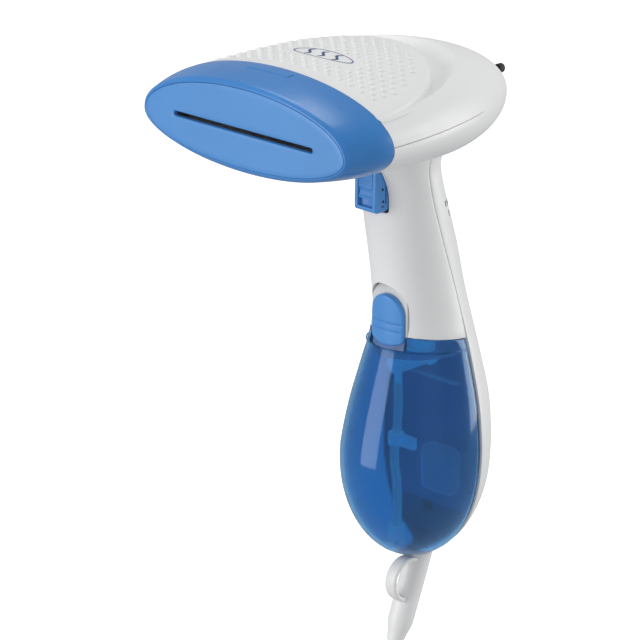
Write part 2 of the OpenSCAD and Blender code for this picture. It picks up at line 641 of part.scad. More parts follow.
// Strain relief, hook and mains lead
taper = 18;
module strain_relief() {
    low = round_z - round_h;
    color("whitesmoke") difference() {
        along_lead(0) difference() {
            union() {
                translate([0, 0, -7]) cylinder(r = relief_r, h = relief_l - taper + 7);
                translate([0, 0, relief_l - taper - eps]) rotate_extrude()
                    polygon([[0, 0], [relief_r, 0], for (k = [1:4]) [mix(relief_r, cord_d / 2 + 1.2, ease(k / 4)), taper * k / 4], [0, taper]]);
            }
            translate([0, 0, relief_l - 6]) cylinder(d = cord_d + 2 * rub, h = 10);
        }
        // room for the tank's bottom
        translate([-20, 0, 0]) rotate([90, 0, 90]) linear_extrude(40)
            polygon([[-60, low - 0.5], for (z = [low - 0.5, low + 6, low + 14, low + 24]) [seam_y(max(z, low + 1)) + 0.1, z], [-60, low + 24]]);
    }
}
hook_at = [0, -8, -181.6];
hook_t = 2.6;
hook_up = 45;               // where the band's ends run into the relief
hook_down = -70;
module hang_hook() {
    color("white") difference() {
        translate(hook_at) difference() {
            bar_x(hook_r + hook_t, -hook_w / 2, hook_w / 2);
            bar_x(hook_r, -hook_w, hook_w);
            translate([-10, 0, 0]) rotate([90, 0, 90]) linear_extrude(20)
                polygon([[0, 0], for (a = [hook_down, -40, 0, hook_up]) 40 * [cos(a), sin(a)]]);
        }
        along_lead(0) translate([0, 0, -9]) cylinder(r = relief_r + hair, h = relief_l);
    }
}
// Route of the lead where it isn't in the hank
lead_route = [[0, -12, -211.5], [0, -13.5, -216], [0, -15, -221], [0, -16.5, -227], [0, -17.5, -233],
    [0, -18, -240], [0, -18, -248], [0, -18, -256]];
// Hank: three turns wide outside, three inside, held at a narrow waist
run_l = 106;                // straight length between the folds
fold_r = 21;
hank_x = -28.5;             // the lead comes down into the hank's right side
hank_z = -330;
pinch = 17;
layers = 3;
hank_y = [-21.5, -0.5];
hank_r = fold_r + 1.5 * cord_d;
function run_x(z) = hank_r - pinch / 2 * (1 + cos(180 * min(1, abs(z) / (run_l / 2))));
module power_cord() { color("white") tube(spline(lead_route, 2), cord_d / 2, 10); }
module cord_hank() {
    side = [for (k = [-8:8]) let (z = run_l / 2 * k / 8) [run_x(z), z]];
    arc = [for (a = [0:15:180]) [hank_r * cos(a), run_l / 2 + hank_r * sin(a)]];
    color("white") translate([hank_x, hank_y[1], hank_z]) rotate([90, 0, 0]) linear_extrude(hank_y[1] - hank_y[0])
        polygon(concat(side, arc, [for (k = [16:-1:0]) [-side[k][0], side[k][1]]],
            [for (p = arc) [-p[0], -p[1]]]));
}
tie_h = 14;
module cord_tie() {
    w = run_x(8) + 0.3;
    color("black") translate([hank_x, 0, hank_z]) difference() {
        slab(-w - 1.4, w + 1.4, hank_y[0] - 1.6, hank_y[1] + 1.6, -tie_h / 2, tie_h / 2);
        slab(-w, w, hank_y[0] - 0.2, hank_y[1] + 0.2, -tie_h, tie_h);
    }
}
tail_route = [[-14, -25.2, -362], [-14, -25.2, -380], [-14, -25.2, -400], [-14, -25.2, -420]];
module cord_tail() { color("white") tube(spline(tail_route, 2), cord_d / 2, 10); }
plug_at = [-14, -25.2, -420];
plug_w = 24;
plug_t = 15;
plug_l = 27;
blade_gap = 12.7;
module plug_body() {
    color("white") translate(plug_at) difference() {
        union() {
            translate([0, 0, -10]) cylinder(r1 = 6, r2 = cord_d / 2 + 0.8, h = 10 - 0.2);
            translate([-plug_w / 2, -plug_t / 2, -10 - plug_l]) cube([plug_w, plug_t, plug_l]);
        }
        for (s = [-1, 1]) translate([s * blade_gap / 2, 0, -10 - plug_l]) slab(-0.8, 0.8, -3.2, 3.2, -1, 8);
    }
}
module plug_blades() {
    color("gold") translate(plug_at + [0, 0, -10 - plug_l]) for (s = [-1, 1]) translate([s * blade_gap / 2, 0, 0]) difference() {
        slab(-0.75, 0.75, -3.15, 3.15, -17, 7.9);
        translate([0, 0, -13.5]) bar_x(1.6, -2, 2);
    }
}

nozzle_shell();
face_plate();
head_top_shell();
head_lower_shell();
rest_feet();
handle_front_shell();
handle_back_shell();
spine_liner();
handle_floor();
latch_guide();
tank_latch();
latch_spring();
latch_anchor();
trigger();
trigger_lock();
trigger_pin();
trigger_spring();
trigger_bracket();
microswitch();
switch_plunger();
selector_switch();
heat_selector();
pump_coil();
pump_tube();
pump_piston();
boiler_body();
boiler_lid();
inlet_nipple();
heating_element();
steam_duct();
slot_seal();
thermostat();
thermal_fuse();
boiler_screws();
inlet_socket();
suction_hose();
delivery_hose();
inner_leads();
water_tank();
tank_lid();
fill_cap();
outlet_valve();
valve_ring();
pickup_hose();
pickup_weight();
hose_clip();
shell_screws();
strain_relief();
hang_hook();
power_cord();
cord_hank();
cord_tie();
cord_tail();
plug_body();
plug_blades();
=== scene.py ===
# %% [markdown]
# # A hand held garment steamer
# The steamer has a wide blue nozzle, a white head, a white handle in two halves, a blue trigger and
# latch, a clear blue water tank and a white mains lead. The CAD model gives every size and joint.
# Here each visible piece is modelled again with finer edges and is given its finish.

# %% Load the fixed frame
import math

import bpy
import numpy as np
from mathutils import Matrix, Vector


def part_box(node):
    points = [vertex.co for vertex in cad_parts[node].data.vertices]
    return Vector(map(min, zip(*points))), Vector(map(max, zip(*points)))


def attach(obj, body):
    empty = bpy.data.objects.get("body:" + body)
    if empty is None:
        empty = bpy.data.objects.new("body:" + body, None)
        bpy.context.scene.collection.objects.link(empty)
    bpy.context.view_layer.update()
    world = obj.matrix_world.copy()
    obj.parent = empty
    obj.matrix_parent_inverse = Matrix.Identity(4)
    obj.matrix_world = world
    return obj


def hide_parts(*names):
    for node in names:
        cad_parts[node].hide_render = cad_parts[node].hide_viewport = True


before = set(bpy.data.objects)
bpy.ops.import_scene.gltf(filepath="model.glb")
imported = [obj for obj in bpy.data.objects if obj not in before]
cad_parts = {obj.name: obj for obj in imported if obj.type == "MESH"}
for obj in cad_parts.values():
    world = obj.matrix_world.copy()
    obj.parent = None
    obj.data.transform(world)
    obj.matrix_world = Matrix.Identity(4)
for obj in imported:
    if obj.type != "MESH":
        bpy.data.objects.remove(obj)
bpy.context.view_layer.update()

# %% [markdown]
# ## Sizes
# All modelling numbers are in millimetres, because that is how a maker thinks about an object of this
# size. Blender's unit is the metre, so everything is multiplied by `MM` once, where a mesh is written.

# %% Main sizes
MM = 0.001
HEAD_Z, NOSE_Y, NOZZLE_DEPTH, HEAD_LENGTH = 85.0, -92.5, 25.0, 137.0
FACE_Y = NOSE_Y - NOZZLE_DEPTH
HEAD_HALF, HEAD_UP = 74.5, 24.0
GRIP_W, GRIP_D, TANK_W, TANK_D = 42.0, 48.0, 72.0, 83.0
ROUND_Z, ROUND_H, WALL, GAP = -112.0, 55.0, 2.2, 0.4
nozzle_low, nozzle_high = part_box("nozzle_shell")
print("nozzle in the CAD model, mm:", [round(v / MM, 1) for v in (*nozzle_low, *nozzle_high)])

# %% Camera
CAMERA_WAY, CAMERA_AWAY, CAMERA_AIM = Vector((0.6486, -0.6956, 0.3090)), 1.5, Vector((-25.7, -39.9, -35.7))

def add_camera():
    """A long lens, set far back for a flat perspective."""
    lens = bpy.data.cameras.new("studio_camera")
    lens.lens, lens.sensor_width, lens.clip_start, lens.clip_end = 168.75, 36.0, 0.05, 60.0
    camera = bpy.data.objects.new("studio_camera", lens)
    bpy.context.scene.collection.objects.link(camera)
    camera.location = CAMERA_WAY.normalized() * CAMERA_AWAY
    camera.rotation_euler = (CAMERA_AIM * MM - camera.location).to_track_quat("-Z", "Y").to_euler()
    bpy.context.scene.camera = camera
    return camera

camera = add_camera()
print("camera stands at", [round(v, 3) for v in camera.location])

# %% [markdown]
# ## Tools of the bench
# Most of the mouldings are lofts: smooth skins over a stack of sections. Each starts as Blender's flat
# grid, whose rows are laid on the sections. A closed skin then has its doubles merged and its normals
# recalculated, and walls, rounded edges and openings come from modifiers that are applied.

# %% Select one piece and nothing else
def only(piece):
    if bpy.context.object and bpy.context.object.mode != "OBJECT":
        bpy.ops.object.mode_set(mode="OBJECT")
    bpy.ops.object.select_all(action="DESELECT")
    piece.select_set(True)
    bpy.context.view_layer.objects.active = piece

def in_edit_mode(piece, *steps):
    """Runs operators in edit mode on all of a piece."""
    only(piece)
    bpy.ops.object.mode_set(mode="EDIT")
    bpy.ops.mesh.select_all(action="SELECT")
    for step in steps:
        step()
    bpy.ops.object.mode_set(mode="OBJECT")

def normals_out():
    bpy.ops.mesh.normals_make_consistent(inside=False)

def merge(piece):
    """Joins the points that coincide, and turns all faces outwards."""
    in_edit_mode(piece, lambda: bpy.ops.mesh.remove_doubles(threshold=0.00001), normals_out)

def apply(piece, kind, **settings):
    """Adds a modifier, sets it and applies it."""
    only(piece)
    modifier = piece.modifiers.new(kind.lower(), kind)
    for key, value in settings.items():
        setattr(modifier, key, value)
    bpy.ops.object.modifier_apply(modifier=modifier.name)

# %% Start a piece and lay its points
def added(name, primitive, **settings):
    """Adds one of Blender's primitives, with nothing else selected."""
    bpy.ops.object.select_all(action="DESELECT")
    primitive(**settings)
    piece = bpy.context.object
    piece.name = piece.data.name = name
    return piece

def lay(piece, points):
    """Puts the corners of a mesh at points given in mm."""
    piece.data.vertices.foreach_set("co", (np.array(points, float).reshape(-1, 3) * MM).ravel())
    piece.data.update()

# %% Skins over sections
def loft(name, rows):
    """Lays a grid on rows of points in mm. Where each row ends at its own first point, the skin closes."""
    n, m = len(rows), len(rows[0])
    piece = added(name, bpy.ops.mesh.primitive_grid_add, x_subdivisions=m - 1, y_subdivisions=n - 1, size=1)
    assert len(piece.data.vertices) == n * m, name
    lay(piece, rows)
    merge(piece)
    return piece

def faces_out(piece, centre):
    """An open skin is turned so that it faces away from a point inside it."""
    middle = Vector(centre) * MM
    score = sum((f.center - middle).dot(f.normal) * f.area for f in piece.data.polygons)
    if score < 0:
        in_edit_mode(piece, bpy.ops.mesh.flip_normals)

def walled(piece):
    """Gives an open skin its wall, on the inside."""
    apply(piece, "SOLIDIFY", thickness=WALL * MM, offset=-1.0, use_even_offset=True)

def plate(name, outline, axis, low, high):
    """A flat outline, given in mm in the plane across the x or y axis, extruded from low to high."""
    piece = added(name, bpy.ops.mesh.primitive_circle_add, vertices=len(outline), radius=1, fill_type="NGON")
    lay(piece, [(low, a, b) if axis == "x" else (a, low, b) for a, b in outline])
    step = (high - low) * MM
    move = (step, 0, 0) if axis == "x" else (0, step, 0)
    in_edit_mode(piece, lambda: bpy.ops.mesh.extrude_region_move(TRANSFORM_OT_translate={"value": move}),
                 lambda: bpy.ops.mesh.select_all(action="SELECT"), normals_out)
    return piece

def rounded(piece, width, segments=3, degrees=35):
    apply(piece, "BEVEL", width=width * MM, segments=segments, limit_method="ANGLE",
          angle_limit=math.radians(degrees), use_clamp_overlap=True, harden_normals=False)

def cut(piece, cutter):
    """Takes a cutter out of a piece and throws the cutter away."""
    apply(piece, "BOOLEAN", object=cutter, operation="DIFFERENCE", solver="EXACT")
    bpy.data.objects.remove(cutter, do_unlink=True)

def join(name, *parts):
    only(parts[0])
    for part in parts:
        part.select_set(True)
    if len(parts) > 1:
        bpy.ops.object.join()
    piece = bpy.context.view_layer.objects.active
    piece.name = piece.data.name = name
    return piece

# %% Round shapes
def ring(centre, u, v, radius, steps=32):
    """A closed circle of points: its first point is repeated at the end."""
    c, u, v = np.array(centre, float), np.array(u, float), np.array(v, float)
    return [tuple(c + radius * (math.cos(t) * u + math.sin(t) * v))
            for t in np.linspace(0, 2 * math.pi, steps + 1)]

def turned(name, start, direction, profile, steps=32):
    """A lathe piece: profile is (distance along the axis, radius) in mm, closed to the axis at both ends."""
    d = Vector(direction).normalized()
    u = d.orthogonal().normalized()
    v = d.cross(u)
    rows = [ring(Vector(start) + d * a, u, v, r, steps) for a, r in profile]
    return loft(name, rows)

def pipe(name, path, radius, sides):
    """A round tube along a path of points in mm, with closed ends."""
    pts = [Vector(p) for p in path]
    heading = [(pts[min(i + 1, len(pts) - 1)] - pts[max(i - 1, 0)]).normalized() for i in range(len(pts))]
    side = heading[0].orthogonal().normalized()
    rows = []
    for i, (p, h) in enumerate(zip(pts, heading)):
        side = (side - h * side.dot(h)).normalized()
        up = h.cross(side)
        rows.append([ring(p, side, up, r, sides) for r in (0.0, radius * 0.85, radius)])
    rows = rows[0] + [row[2] for row in rows[1:-1]] + rows[-1][::-1]
    return loft(name, rows)

def rod(name, start, radius, length, steps=32):
    """A plain round rod that runs along x from its start."""
    return turned(name, start, (1, 0, 0), [(0, 0), (0, radius), (length, radius), (length, 0)], steps)

def box_between(name, low, high, bevel=0.0, segments=2):
    """A block between two corners in mm, with rounded edges."""
    piece = added(name, bpy.ops.mesh.primitive_cube_add, size=1,
                  scale=[(b - a) * MM for a, b in zip(low, high)],
                  location=[(a + b) / 2 * MM for a, b in zip(low, high)])
    bpy.ops.object.transform_apply(location=True, rotation=True, scale=True)
    if bevel:
        rounded(piece, bevel, segments)
    return piece

# %% Give a piece its body, its CAD nodes and its finish
made = []
def fit(piece, body, finish, *nodes, slot=None, angle=35):
    """Puts the piece on its body, hides the CAD nodes that it stands for, and paints it."""
    only(piece)
    bpy.ops.object.transform_apply(location=True, rotation=True, scale=True)
    bpy.ops.object.shade_smooth_by_angle(angle=math.radians(angle))
    piece.data.materials.clear()
    piece.data.materials.append(finish)
    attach(piece, body)
    if nodes:
        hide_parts(*nodes)
    made.append(piece.name)
    print(f"{piece.name}: {len(piece.data.polygons)} faces")
    return piece

# %% [markdown]
# ## Finishes
# Moulded plastic is never quite even. A fine grain is pressed into it by the mould, its gloss wanders
# a little, and its colour is not exactly the same all over. Each finish below is built from noise on
# Object coordinates, which are in metres, so a scale of 900 gives a grain of about a millimetre.

# %% Node helpers
def new_material(name, painted_glow=0.0):
    material = bpy.data.materials.new(name)
    material.use_nodes = True
    nodes, links = material.node_tree.nodes, material.node_tree.links
    shader = nodes["Principled BSDF"]
    # The emission is painted light: a pale blue glow that stands in for the light reaching the pieces inside
    # the clear tank.
    shader.inputs["Emission Color"].default_value = (0.75, 0.9, 1, 1)
    shader.inputs["Emission Strength"].default_value = painted_glow
    return material, nodes, links, shader

def noise(nodes, links, scale, detail=3.0, stretch=None):
    """Noise on Object coordinates, stretched along an axis if asked."""
    coord = nodes.new("ShaderNodeTexCoord")
    texture = nodes.new("ShaderNodeTexNoise")
    texture.inputs["Scale"].default_value = scale
    texture.inputs["Detail"].default_value = detail
    if stretch:
        mapping = nodes.new("ShaderNodeMapping")
        mapping.inputs["Scale"].default_value = stretch
        links.new(coord.outputs["Object"], mapping.inputs["Vector"])
        links.new(mapping.outputs["Vector"], texture.inputs["Vector"])
    else:
        links.new(coord.outputs["Object"], texture.inputs["Vector"])
    return texture

def tint(nodes, links, factor, dark, light):
    """Turns a 0 to 1 factor into a colour between dark and light."""
    ramp = nodes.new("ShaderNodeValToRGB")
    for stop, position, colour in zip(ramp.color_ramp.elements, (0.3, 0.7), (dark, light)):
        stop.position, stop.color = position, (*colour, 1)
    links.new(factor, ramp.inputs["Fac"])
    return ramp.outputs["Color"]

def spread(nodes, links, factor, low, high):
    """Turns a 0 to 1 factor into a roughness between low and high."""
    span = nodes.new("ShaderNodeMapRange")
    span.inputs["From Min"].default_value, span.inputs["From Max"].default_value = 0.25, 0.75
    span.inputs["To Min"].default_value, span.inputs["To Max"].default_value = low, high
    links.new(factor, span.inputs["Value"])
    return span.outputs["Result"]

def dress(nodes, links, shader, colour, gloss, bumps):
    """Wires one noise to the colour, one to the roughness and one to the fine bumps of a finish."""
    links.new(tint(nodes, links, colour[0].outputs["Fac"], *colour[1:]), shader.inputs["Base Color"])
    links.new(spread(nodes, links, gloss[0].outputs["Fac"], *gloss[1:]), shader.inputs["Roughness"])
    bump = nodes.new("ShaderNodeBump")
    bump.inputs["Strength"].default_value, bump.inputs["Distance"].default_value = bumps[1:]
    links.new(bumps[0].outputs["Fac"], bump.inputs["Height"])
    links.new(bump.outputs["Normal"], shader.inputs["Normal"])

# %% Moulded plastic, rubber and metal
def moulded(name, colour, rough, grain=1800.0, depth=0.00006, strength=0.25, drift=0.03, coat=0.0, painted_glow=0.0):
    """Opaque plastic with mould grain, drifting gloss and a slightly uneven colour."""
    material, nodes, links, shader = new_material(name, painted_glow)
    dark = tuple(max(0.0, c * (1 - drift)) for c in colour)
    light = tuple(min(1.0, c * (1 + drift)) for c in colour)
    wide, gloss, fine = (noise(nodes, links, *size) for size in ((26.0, 4.0), (140.0, 5.0), (grain, 2.0)))
    dress(nodes, links, shader, (wide, dark, light), (gloss, *rough), (fine, strength, depth))
    shader.inputs["Coat Weight"].default_value = coat
    shader.inputs["Coat Roughness"].default_value = 0.12
    return material

def metal(name, colour, rough=(0.22, 0.38), brushed=(1, 1, 30), scale=260.0):
    """Bare metal with fine brushed lines."""
    material, nodes, links, shader = new_material(name)
    lines = noise(nodes, links, scale, 4.0, stretch=brushed)
    dark = tuple(c * 0.86 for c in colour)
    dress(nodes, links, shader, (lines, dark, colour), (lines, *rough), (lines, 0.2, 0.00005))
    shader.inputs["Metallic"].default_value = 1.0
    return material

def tinted_clear(name, colour, rough, transmission, sheen=0.5, painted_glow=0.0):
    """See-through moulded plastic: faint flow lines and a gloss that drifts."""
    material, nodes, links, shader = new_material(name, painted_glow)
    flow = noise(nodes, links, 30.0, 3.0, stretch=(1, 1, 0.3))
    dark, gloss = tuple(c * 0.9 for c in colour), noise(nodes, links, 90.0, 4.0)
    dress(nodes, links, shader, (flow, dark, colour), (gloss, *rough), (flow, 0.12, 0.0004))
    shader.inputs["Transmission Weight"].default_value = transmission
    shader.inputs["IOR"].default_value = 1.46
    shader.inputs["Specular IOR Level"].default_value = sheen
    return material

# %% The finishes of this steamer
shell_white = moulded("shell_white", (0.85, 0.85, 0.845), rough=(0.3, 0.4), drift=0.012)
# The faint glow of the pieces behind the clear wall stands for the light that reaches them through it.
liner_white = moulded("liner_white", (0.85, 0.85, 0.845), rough=(0.35, 0.45), drift=0.012, painted_glow=0.32)
nozzle_blue = moulded("nozzle_blue", (0.03, 0.205, 0.56), rough=(0.26, 0.36), drift=0.04, coat=0.15)
face_blue = moulded("face_blue", (0.075, 0.275, 0.64), rough=(0.3, 0.42), drift=0.03)
button_blue = moulded("button_blue", (0.07, 0.28, 0.68), rough=(0.3, 0.42), grain=2400.0, drift=0.04)
inner_white = moulded("inner_white", (0.66, 0.67, 0.66), rough=(0.4, 0.55))
dark_plastic = moulded("dark_plastic", (0.012, 0.012, 0.013), rough=(0.35, 0.5), drift=0.15)
soft_black = moulded("soft_black", (0.009, 0.009, 0.009), rough=(0.55, 0.75), grain=900.0, depth=0.00012,
                     strength=0.5, drift=0.2)
seal_grey = moulded("seal_grey", (0.16, 0.16, 0.16), rough=(0.6, 0.8), grain=900.0, depth=0.0001, strength=0.5)
cord_white = moulded("cord_white", (0.66, 0.66, 0.65), rough=(0.38, 0.5), grain=1100.0, depth=0.00008,
                     strength=0.35)
tank_blue = tinted_clear("tank_blue", (0.05, 0.30, 0.60), (0.07, 0.12), 0.9, sheen=0.28)
# The glow on the lid and chamber, on the pale blue clip, valve and weight, and on the hoses is painted light
# too. It stands for the light that reaches them through the clear wall.
lid_blue = tinted_clear("lid_blue", (0.16, 0.26, 0.62), (0.08, 0.16), 0.7, painted_glow=0.1)
pale_blue = tinted_clear("pale_blue", (0.35, 0.72, 0.92), (0.1, 0.2), 0.35, painted_glow=0.22)
hose_clear = tinted_clear("hose_clear", (0.8, 0.85, 0.9), (0.12, 0.25), 0.6, painted_glow=0.12)
steel = metal("steel", (0.56, 0.56, 0.57))
cast_aluminium = metal("cast_aluminium", (0.62, 0.62, 0.63), rough=(0.4, 0.6), brushed=(1, 1, 1), scale=700.0)
brass = metal("brass", (0.68, 0.5, 0.2))
copper_wire = metal("copper_wire", (0.55, 0.22, 0.06), brushed=(1, 1, 60), scale=400.0)
print("finishes:", len(bpy.data.materials))

# %% [markdown]
# ## Mains lead
# The lead is 7 mm thick, leaves the handle's tapered relief and hangs straight down. The part of its
# length that isn't needed is folded into a slim hank held by a tie, and ends in a two pin plug. A lead
# has one constant thickness along a smooth line, so the line is worked out first and a round tube is
# run along it.

# %% Line of the lead
CORD_D, FOLD, RUN, HANK_X, HANK_Z = 7.0, 21.0, 53.0, -28.5, -330.0
LEAD = [(0, -10, -211.5), (0, -11.9, -216), (0, -14, -221), (0, -16.1, -227), (0, -17.4, -233), (0, -18, -240)]
TAIL_X, TAIL_Y = -14.0, -25.2

def ease(t):
    t = min(1.0, max(0.0, t))
    return t * t * (3 - 2 * t)

def between(a, b, t): return a + (b - a) * t

def run_x(z): return FOLD + 1.5 * CORD_D - 8.5 * (1 + math.cos(math.pi * min(1.0, abs(z) / RUN)))

def run(side, inward, y, down):
    """One long straight run of the hank, pinched at the tie."""
    zs = np.linspace(RUN, -RUN, 19) if down else np.linspace(-RUN, RUN, 19)
    return [(HANK_X + side * (run_x(z) - inward), y, HANK_Z + z) for z in zs]

def fold(top, r0, r1, y0, y1, when):
    """A half turn at an end of the hank. Layer and radius change in the part of the turn that `when` names."""
    points = []
    for k in range(1, 14):
        t = k / 14
        move = ease((t - when[0]) / (when[1] - when[0]))
        r, y = between(r0, r1, move), between(y0, y1, move)
        a = math.pi * (1 - t) if top else math.pi * t
        up = RUN + r * math.sin(a) if top else -RUN - r * math.sin(a)
        points.append((HANK_X + r * math.cos(a), y, HANK_Z + up))
    return points

def lead_line():
    out, inn = CORD_D / 2, 1.5 * CORD_D
    ro, ri = FOLD + CORD_D, FOLD
    line = LEAD + [(0, -18, z) for z in (-248, -256, -264)]
    turns = [(out, ro, ro, -18, -11, (0, 1)), (out, ro, ro, -11, -4, (0, 1)), (out, ro, ri, -4, -4, (0.5, 1)),
             (inn, ri, ri, -4, -11, (0, 0.5)), (inn, ri, ri, -11, -18, (0, 0.5))]
    for inward, r, next_r, y, next_y, when in turns:
        line += run(1, inward, y, True) + fold(False, r, r, y, y, (0, 1)) + run(-1, inward, y, False)
        line += fold(True, r, next_r, y, next_y, when)
    for z in np.linspace(RUN, -52, 34):
        x = HANK_X + run_x(z) - inn
        out_of_hank = ease((-z - 12) / 23)
        line.append((between(x, TAIL_X, out_of_hank), between(-18, TAIL_Y, out_of_hank), HANK_Z + z))
    line += [(TAIL_X, TAIL_Y, z) for z in (-390, -400, -410, -418, -420)]
    return line

lead = lead_line()

# %% The lead itself
power_lead = pipe("mains_lead", lead, CORD_D / 2, sides=16)
fit(power_lead, "steamer", cord_white, "power_cord", "cord_hank", "cord_tail", slot="cord_white", angle=60)

# %% Plug
def mains_plug():
    """Grip with rolled edges, finger hollows at its sides, and a tapered tail with strain ribs."""
    x, y, z = TAIL_X, TAIL_Y, -420.0
    # height, half width and half depth
    grip = [(0, 0.0, 0.0), (0, 8.6, 4.4), (0.3, 10.3, 6.0), (1.2, 11.6, 7.1), (2.6, 12, 7.5), (6, 12, 7.5),
            (10, 11.2, 7.4), (14, 10.6, 7.2), (18, 10.8, 7.0), (21, 10.2, 6.8), (23.5, 8.8, 6.3),
            (25.4, 7.2, 5.8), (27, 6.2, 5.5)]
    rows = []
    for t, w, d in grip:
        square = 0.32 if t < 20 else 0.32 + 0.68 * (t - 20) / 7
        row = []
        for a in np.linspace(0, 2 * math.pi, 65):
            c, s = math.cos(a), math.sin(a)
            row.append((x + w * math.copysign(abs(c) ** square, c),
                        y + d * math.copysign(abs(s) ** square, s), z - 37 + t))
        rows.append(row)
    for k in range(5):
        r = 6.0 - 0.32 * k
        for dz, dr in ((0.2, -0.9), (0.4, 0.0), (1.5, -0.1), (1.7, -0.9)):
            rows.append(ring((x, y, z - 10 + 1.9 * k + dz), (1, 0, 0), (0, 1, 0), r + dr, 64))
    rows.append(ring((x, y, z - 0.3), (1, 0, 0), (0, 1, 0), CORD_D / 2 + 0.25, 64))
    rows.append(ring((x, y, z - 0.3), (1, 0, 0), (0, 1, 0), 0, 64))
    return loft("mains_plug", rows)

plug = fit(mains_plug(), "steamer", cord_white, "plug_body", slot="cord_white", angle=40)

# %% Blades of the plug
def plug_pins():
    blades = []
    for side in (-1, 1):
        x = TAIL_X + side * 6.35
        blade = box_between("blade", (x - 0.75, TAIL_Y - 3.15, -474), (x + 0.75, TAIL_Y + 3.15, -449.2),
                            bevel=0.35, segments=3)
        cut(blade, rod("blade_hole", (x - 3, TAIL_Y, -470.5), 1.6, 6, 24))
        blades.append(blade)
    return join("plug_pins", *blades)

pins = fit(plug_pins(), "steamer", brass, "plug_blades", slot="brass")

# %% Tie round the hank
def hank_tie():
    """A soft strap with rounded edges and a lapped end."""
    half = run_x(8) + 0.3
    def band(grow, z0):
        r = 3.2 + grow
        low, high = -23.1 + 1.4 - grow, 1.1 - 1.4 + grow
        corners = [(half + grow - r, high - r, 0), (-half - grow + r, high - r, 90),
                   (-half - grow + r, low + r, 180), (half + grow - r, low + r, 270)]
        return [(HANK_X + cx + r * math.cos(math.radians(a)), cy + r * math.sin(math.radians(a)), HANK_Z + z0)
                for cx, cy, a0 in corners for a in range(a0, a0 + 91, 15)]
    edge = [(0.05, -6.4), (0.3, -6.9), (1.1, -6.9), (1.4, -6.4)]
    profile = edge + [(grow, -z) for grow, z in reversed(edge)]
    rows = []
    for grow, z0 in profile + profile[:1]:
        row = band(grow, z0)
        rows.append(row + row[:1])
    strap = loft("hank_tie", rows)
    lap = box_between("lap", (HANK_X - 4, -23.9, HANK_Z - 5.2), (HANK_X + 4, -22.6, HANK_Z + 5.2), 0.5, 3)
    return join("hank_tie", strap, lap)

tie = fit(hank_tie(), "steamer", soft_black, "cord_tie", slot="rubber_black")

# %% [markdown]
# ## Shape of handle and tank
# Handle, spine and tank share one set of sections: ellipses whose centre, width and depth change with
# height. The numbers are the same as in the CAD source, so the skins meet where its solids meet.

# %% Sections of the handle
# height, y of the centre, share of the way from grip to tank size, and what is added to the half depth
KNOTS = [(62, -15, 0, 0), (45, -11, 0, -3.5), (35, -8, 0, -4.5), (20, -5, 0, -2), (0, 0, 0, 0),
         (-20, 4, 0.05, 0), (-40, 7.5, 0.18, 0), (-62, 7, 0.52, 0), (-82, 6, 0.82, 0), (-104, 4, 1, 0),
         (-114, 3.5, 1, 0)]
# height, and y of the seam between the front and the back half
SEAM_KNOTS = [(62, -13), (34, -9), (12, -2), (-20, 9), (-46, 15), (-94, 16.5), (-136, 15), (-170, 13)]

def along(knots, z, c):
    """Smooth value between the knots of a table that falls in height."""
    outside = 0 if z > knots[0][0] else len(knots) - 2
    i = next((k for k in range(len(knots) - 1) if knots[k + 1][0] <= z <= knots[k][0]), outside)
    def slope(k):
        if k in (0, len(knots) - 1):
            return 0.0
        return (knots[k + 1][c] - knots[k - 1][c]) / (knots[k + 1][0] - knots[k - 1][0])
    h = knots[i + 1][0] - knots[i][0]
    t = min(1.0, max(0.0, (z - knots[i][0]) / h))
    a, b, ma, mb = knots[i][c], knots[i + 1][c], slope(i) * h, slope(i + 1) * h
    return ((2 * t**3 - 3 * t * t + 1) * a + (t**3 - 2 * t * t + t) * ma
            + (3 * t * t - 2 * t**3) * b + (t**3 - t * t) * mb)

def shrink(z):
    return 1.0 if z > ROUND_Z else math.sqrt(max(0.0, 1 - ((z - ROUND_Z) / ROUND_H) ** 2))

def mid_y(z): return along(KNOTS, z, 1)
def half_w(z): return (GRIP_W + along(KNOTS, z, 2) * (TANK_W - GRIP_W)) / 2 * shrink(z)
def half_d(z): return ((GRIP_D + along(KNOTS, z, 2) * (TANK_D - GRIP_D)) / 2 + along(KNOTS, z, 3)) * shrink(z)
def seam_y(z): return min(along(SEAM_KNOTS, z, 1), mid_y(z) + 0.62 * half_d(z))
EDGE_Z = -44
def edge_at(y):
    """Height of the slanted joint between the handle's front half and the tank."""
    return EDGE_Z - 0.16 * y

def arc(z, back, y_off=0.0, steps=48):
    """Front or back part of a section, split along the seam."""
    w, d, c = half_w(z), half_d(z), mid_y(z)
    split = math.acos(max(-1.0, min(1.0, (c - seam_y(z) - y_off) / max(d, 1e-6))))
    a1, a2 = (split, 2 * math.pi - split) if back else (-split, split)
    return [(w * math.sin(a), c - d * math.cos(a), z) for a in np.linspace(a1, a2, steps + 1)]

print("grip at the origin, mm:", round(half_w(0) * 2, 1), "x", round(half_d(0) * 2, 1))

# %% Shape of the head
def head_t(y): return min(1.0, max(0.0, (y - NOSE_Y) / HEAD_LENGTH))
def head_half(y): return HEAD_HALF * math.sqrt(1 - head_t(y) ** 2)
def head_up(y): return (HEAD_UP + 3.5 * ease((y - NOSE_Y) / 60)) * math.sqrt(1 - head_t(y) ** 3)
def head_down(y): return (HEAD_UP + 6 * ease((y - NOSE_Y) / 80)) * math.sqrt(1 - head_t(y) ** 5)
WIDEST, SEAM_SHARE = HEAD_Z - 2.0, 0.997
def crown(x, y):
    half = head_half(y)
    return math.sqrt(max(0.0, 1 - (x / half) ** 2)) if half > 1e-6 else 0.0
def top_at(x, y): return WIDEST + (head_up(y) + 2.0 * (1 - head_t(y))) * crown(x, y)
def under_at(x, y): return WIDEST - (head_down(y) - 1.0 * (1 - head_t(y))) * crown(x, y)
print("top of the head over the pad, mm:", round(top_at(0, -60), 1))

# %% [markdown]
# ## Relief and hook
# The lead leaves a soft white sleeve that continues the spine and tapers onto the lead. Above it sits a
# flat C shaped hook, for hanging the steamer up. The sleeve is turned like wood on a lathe; the hook
# is a flat band swept round a part circle, with a full round at both of its ends.

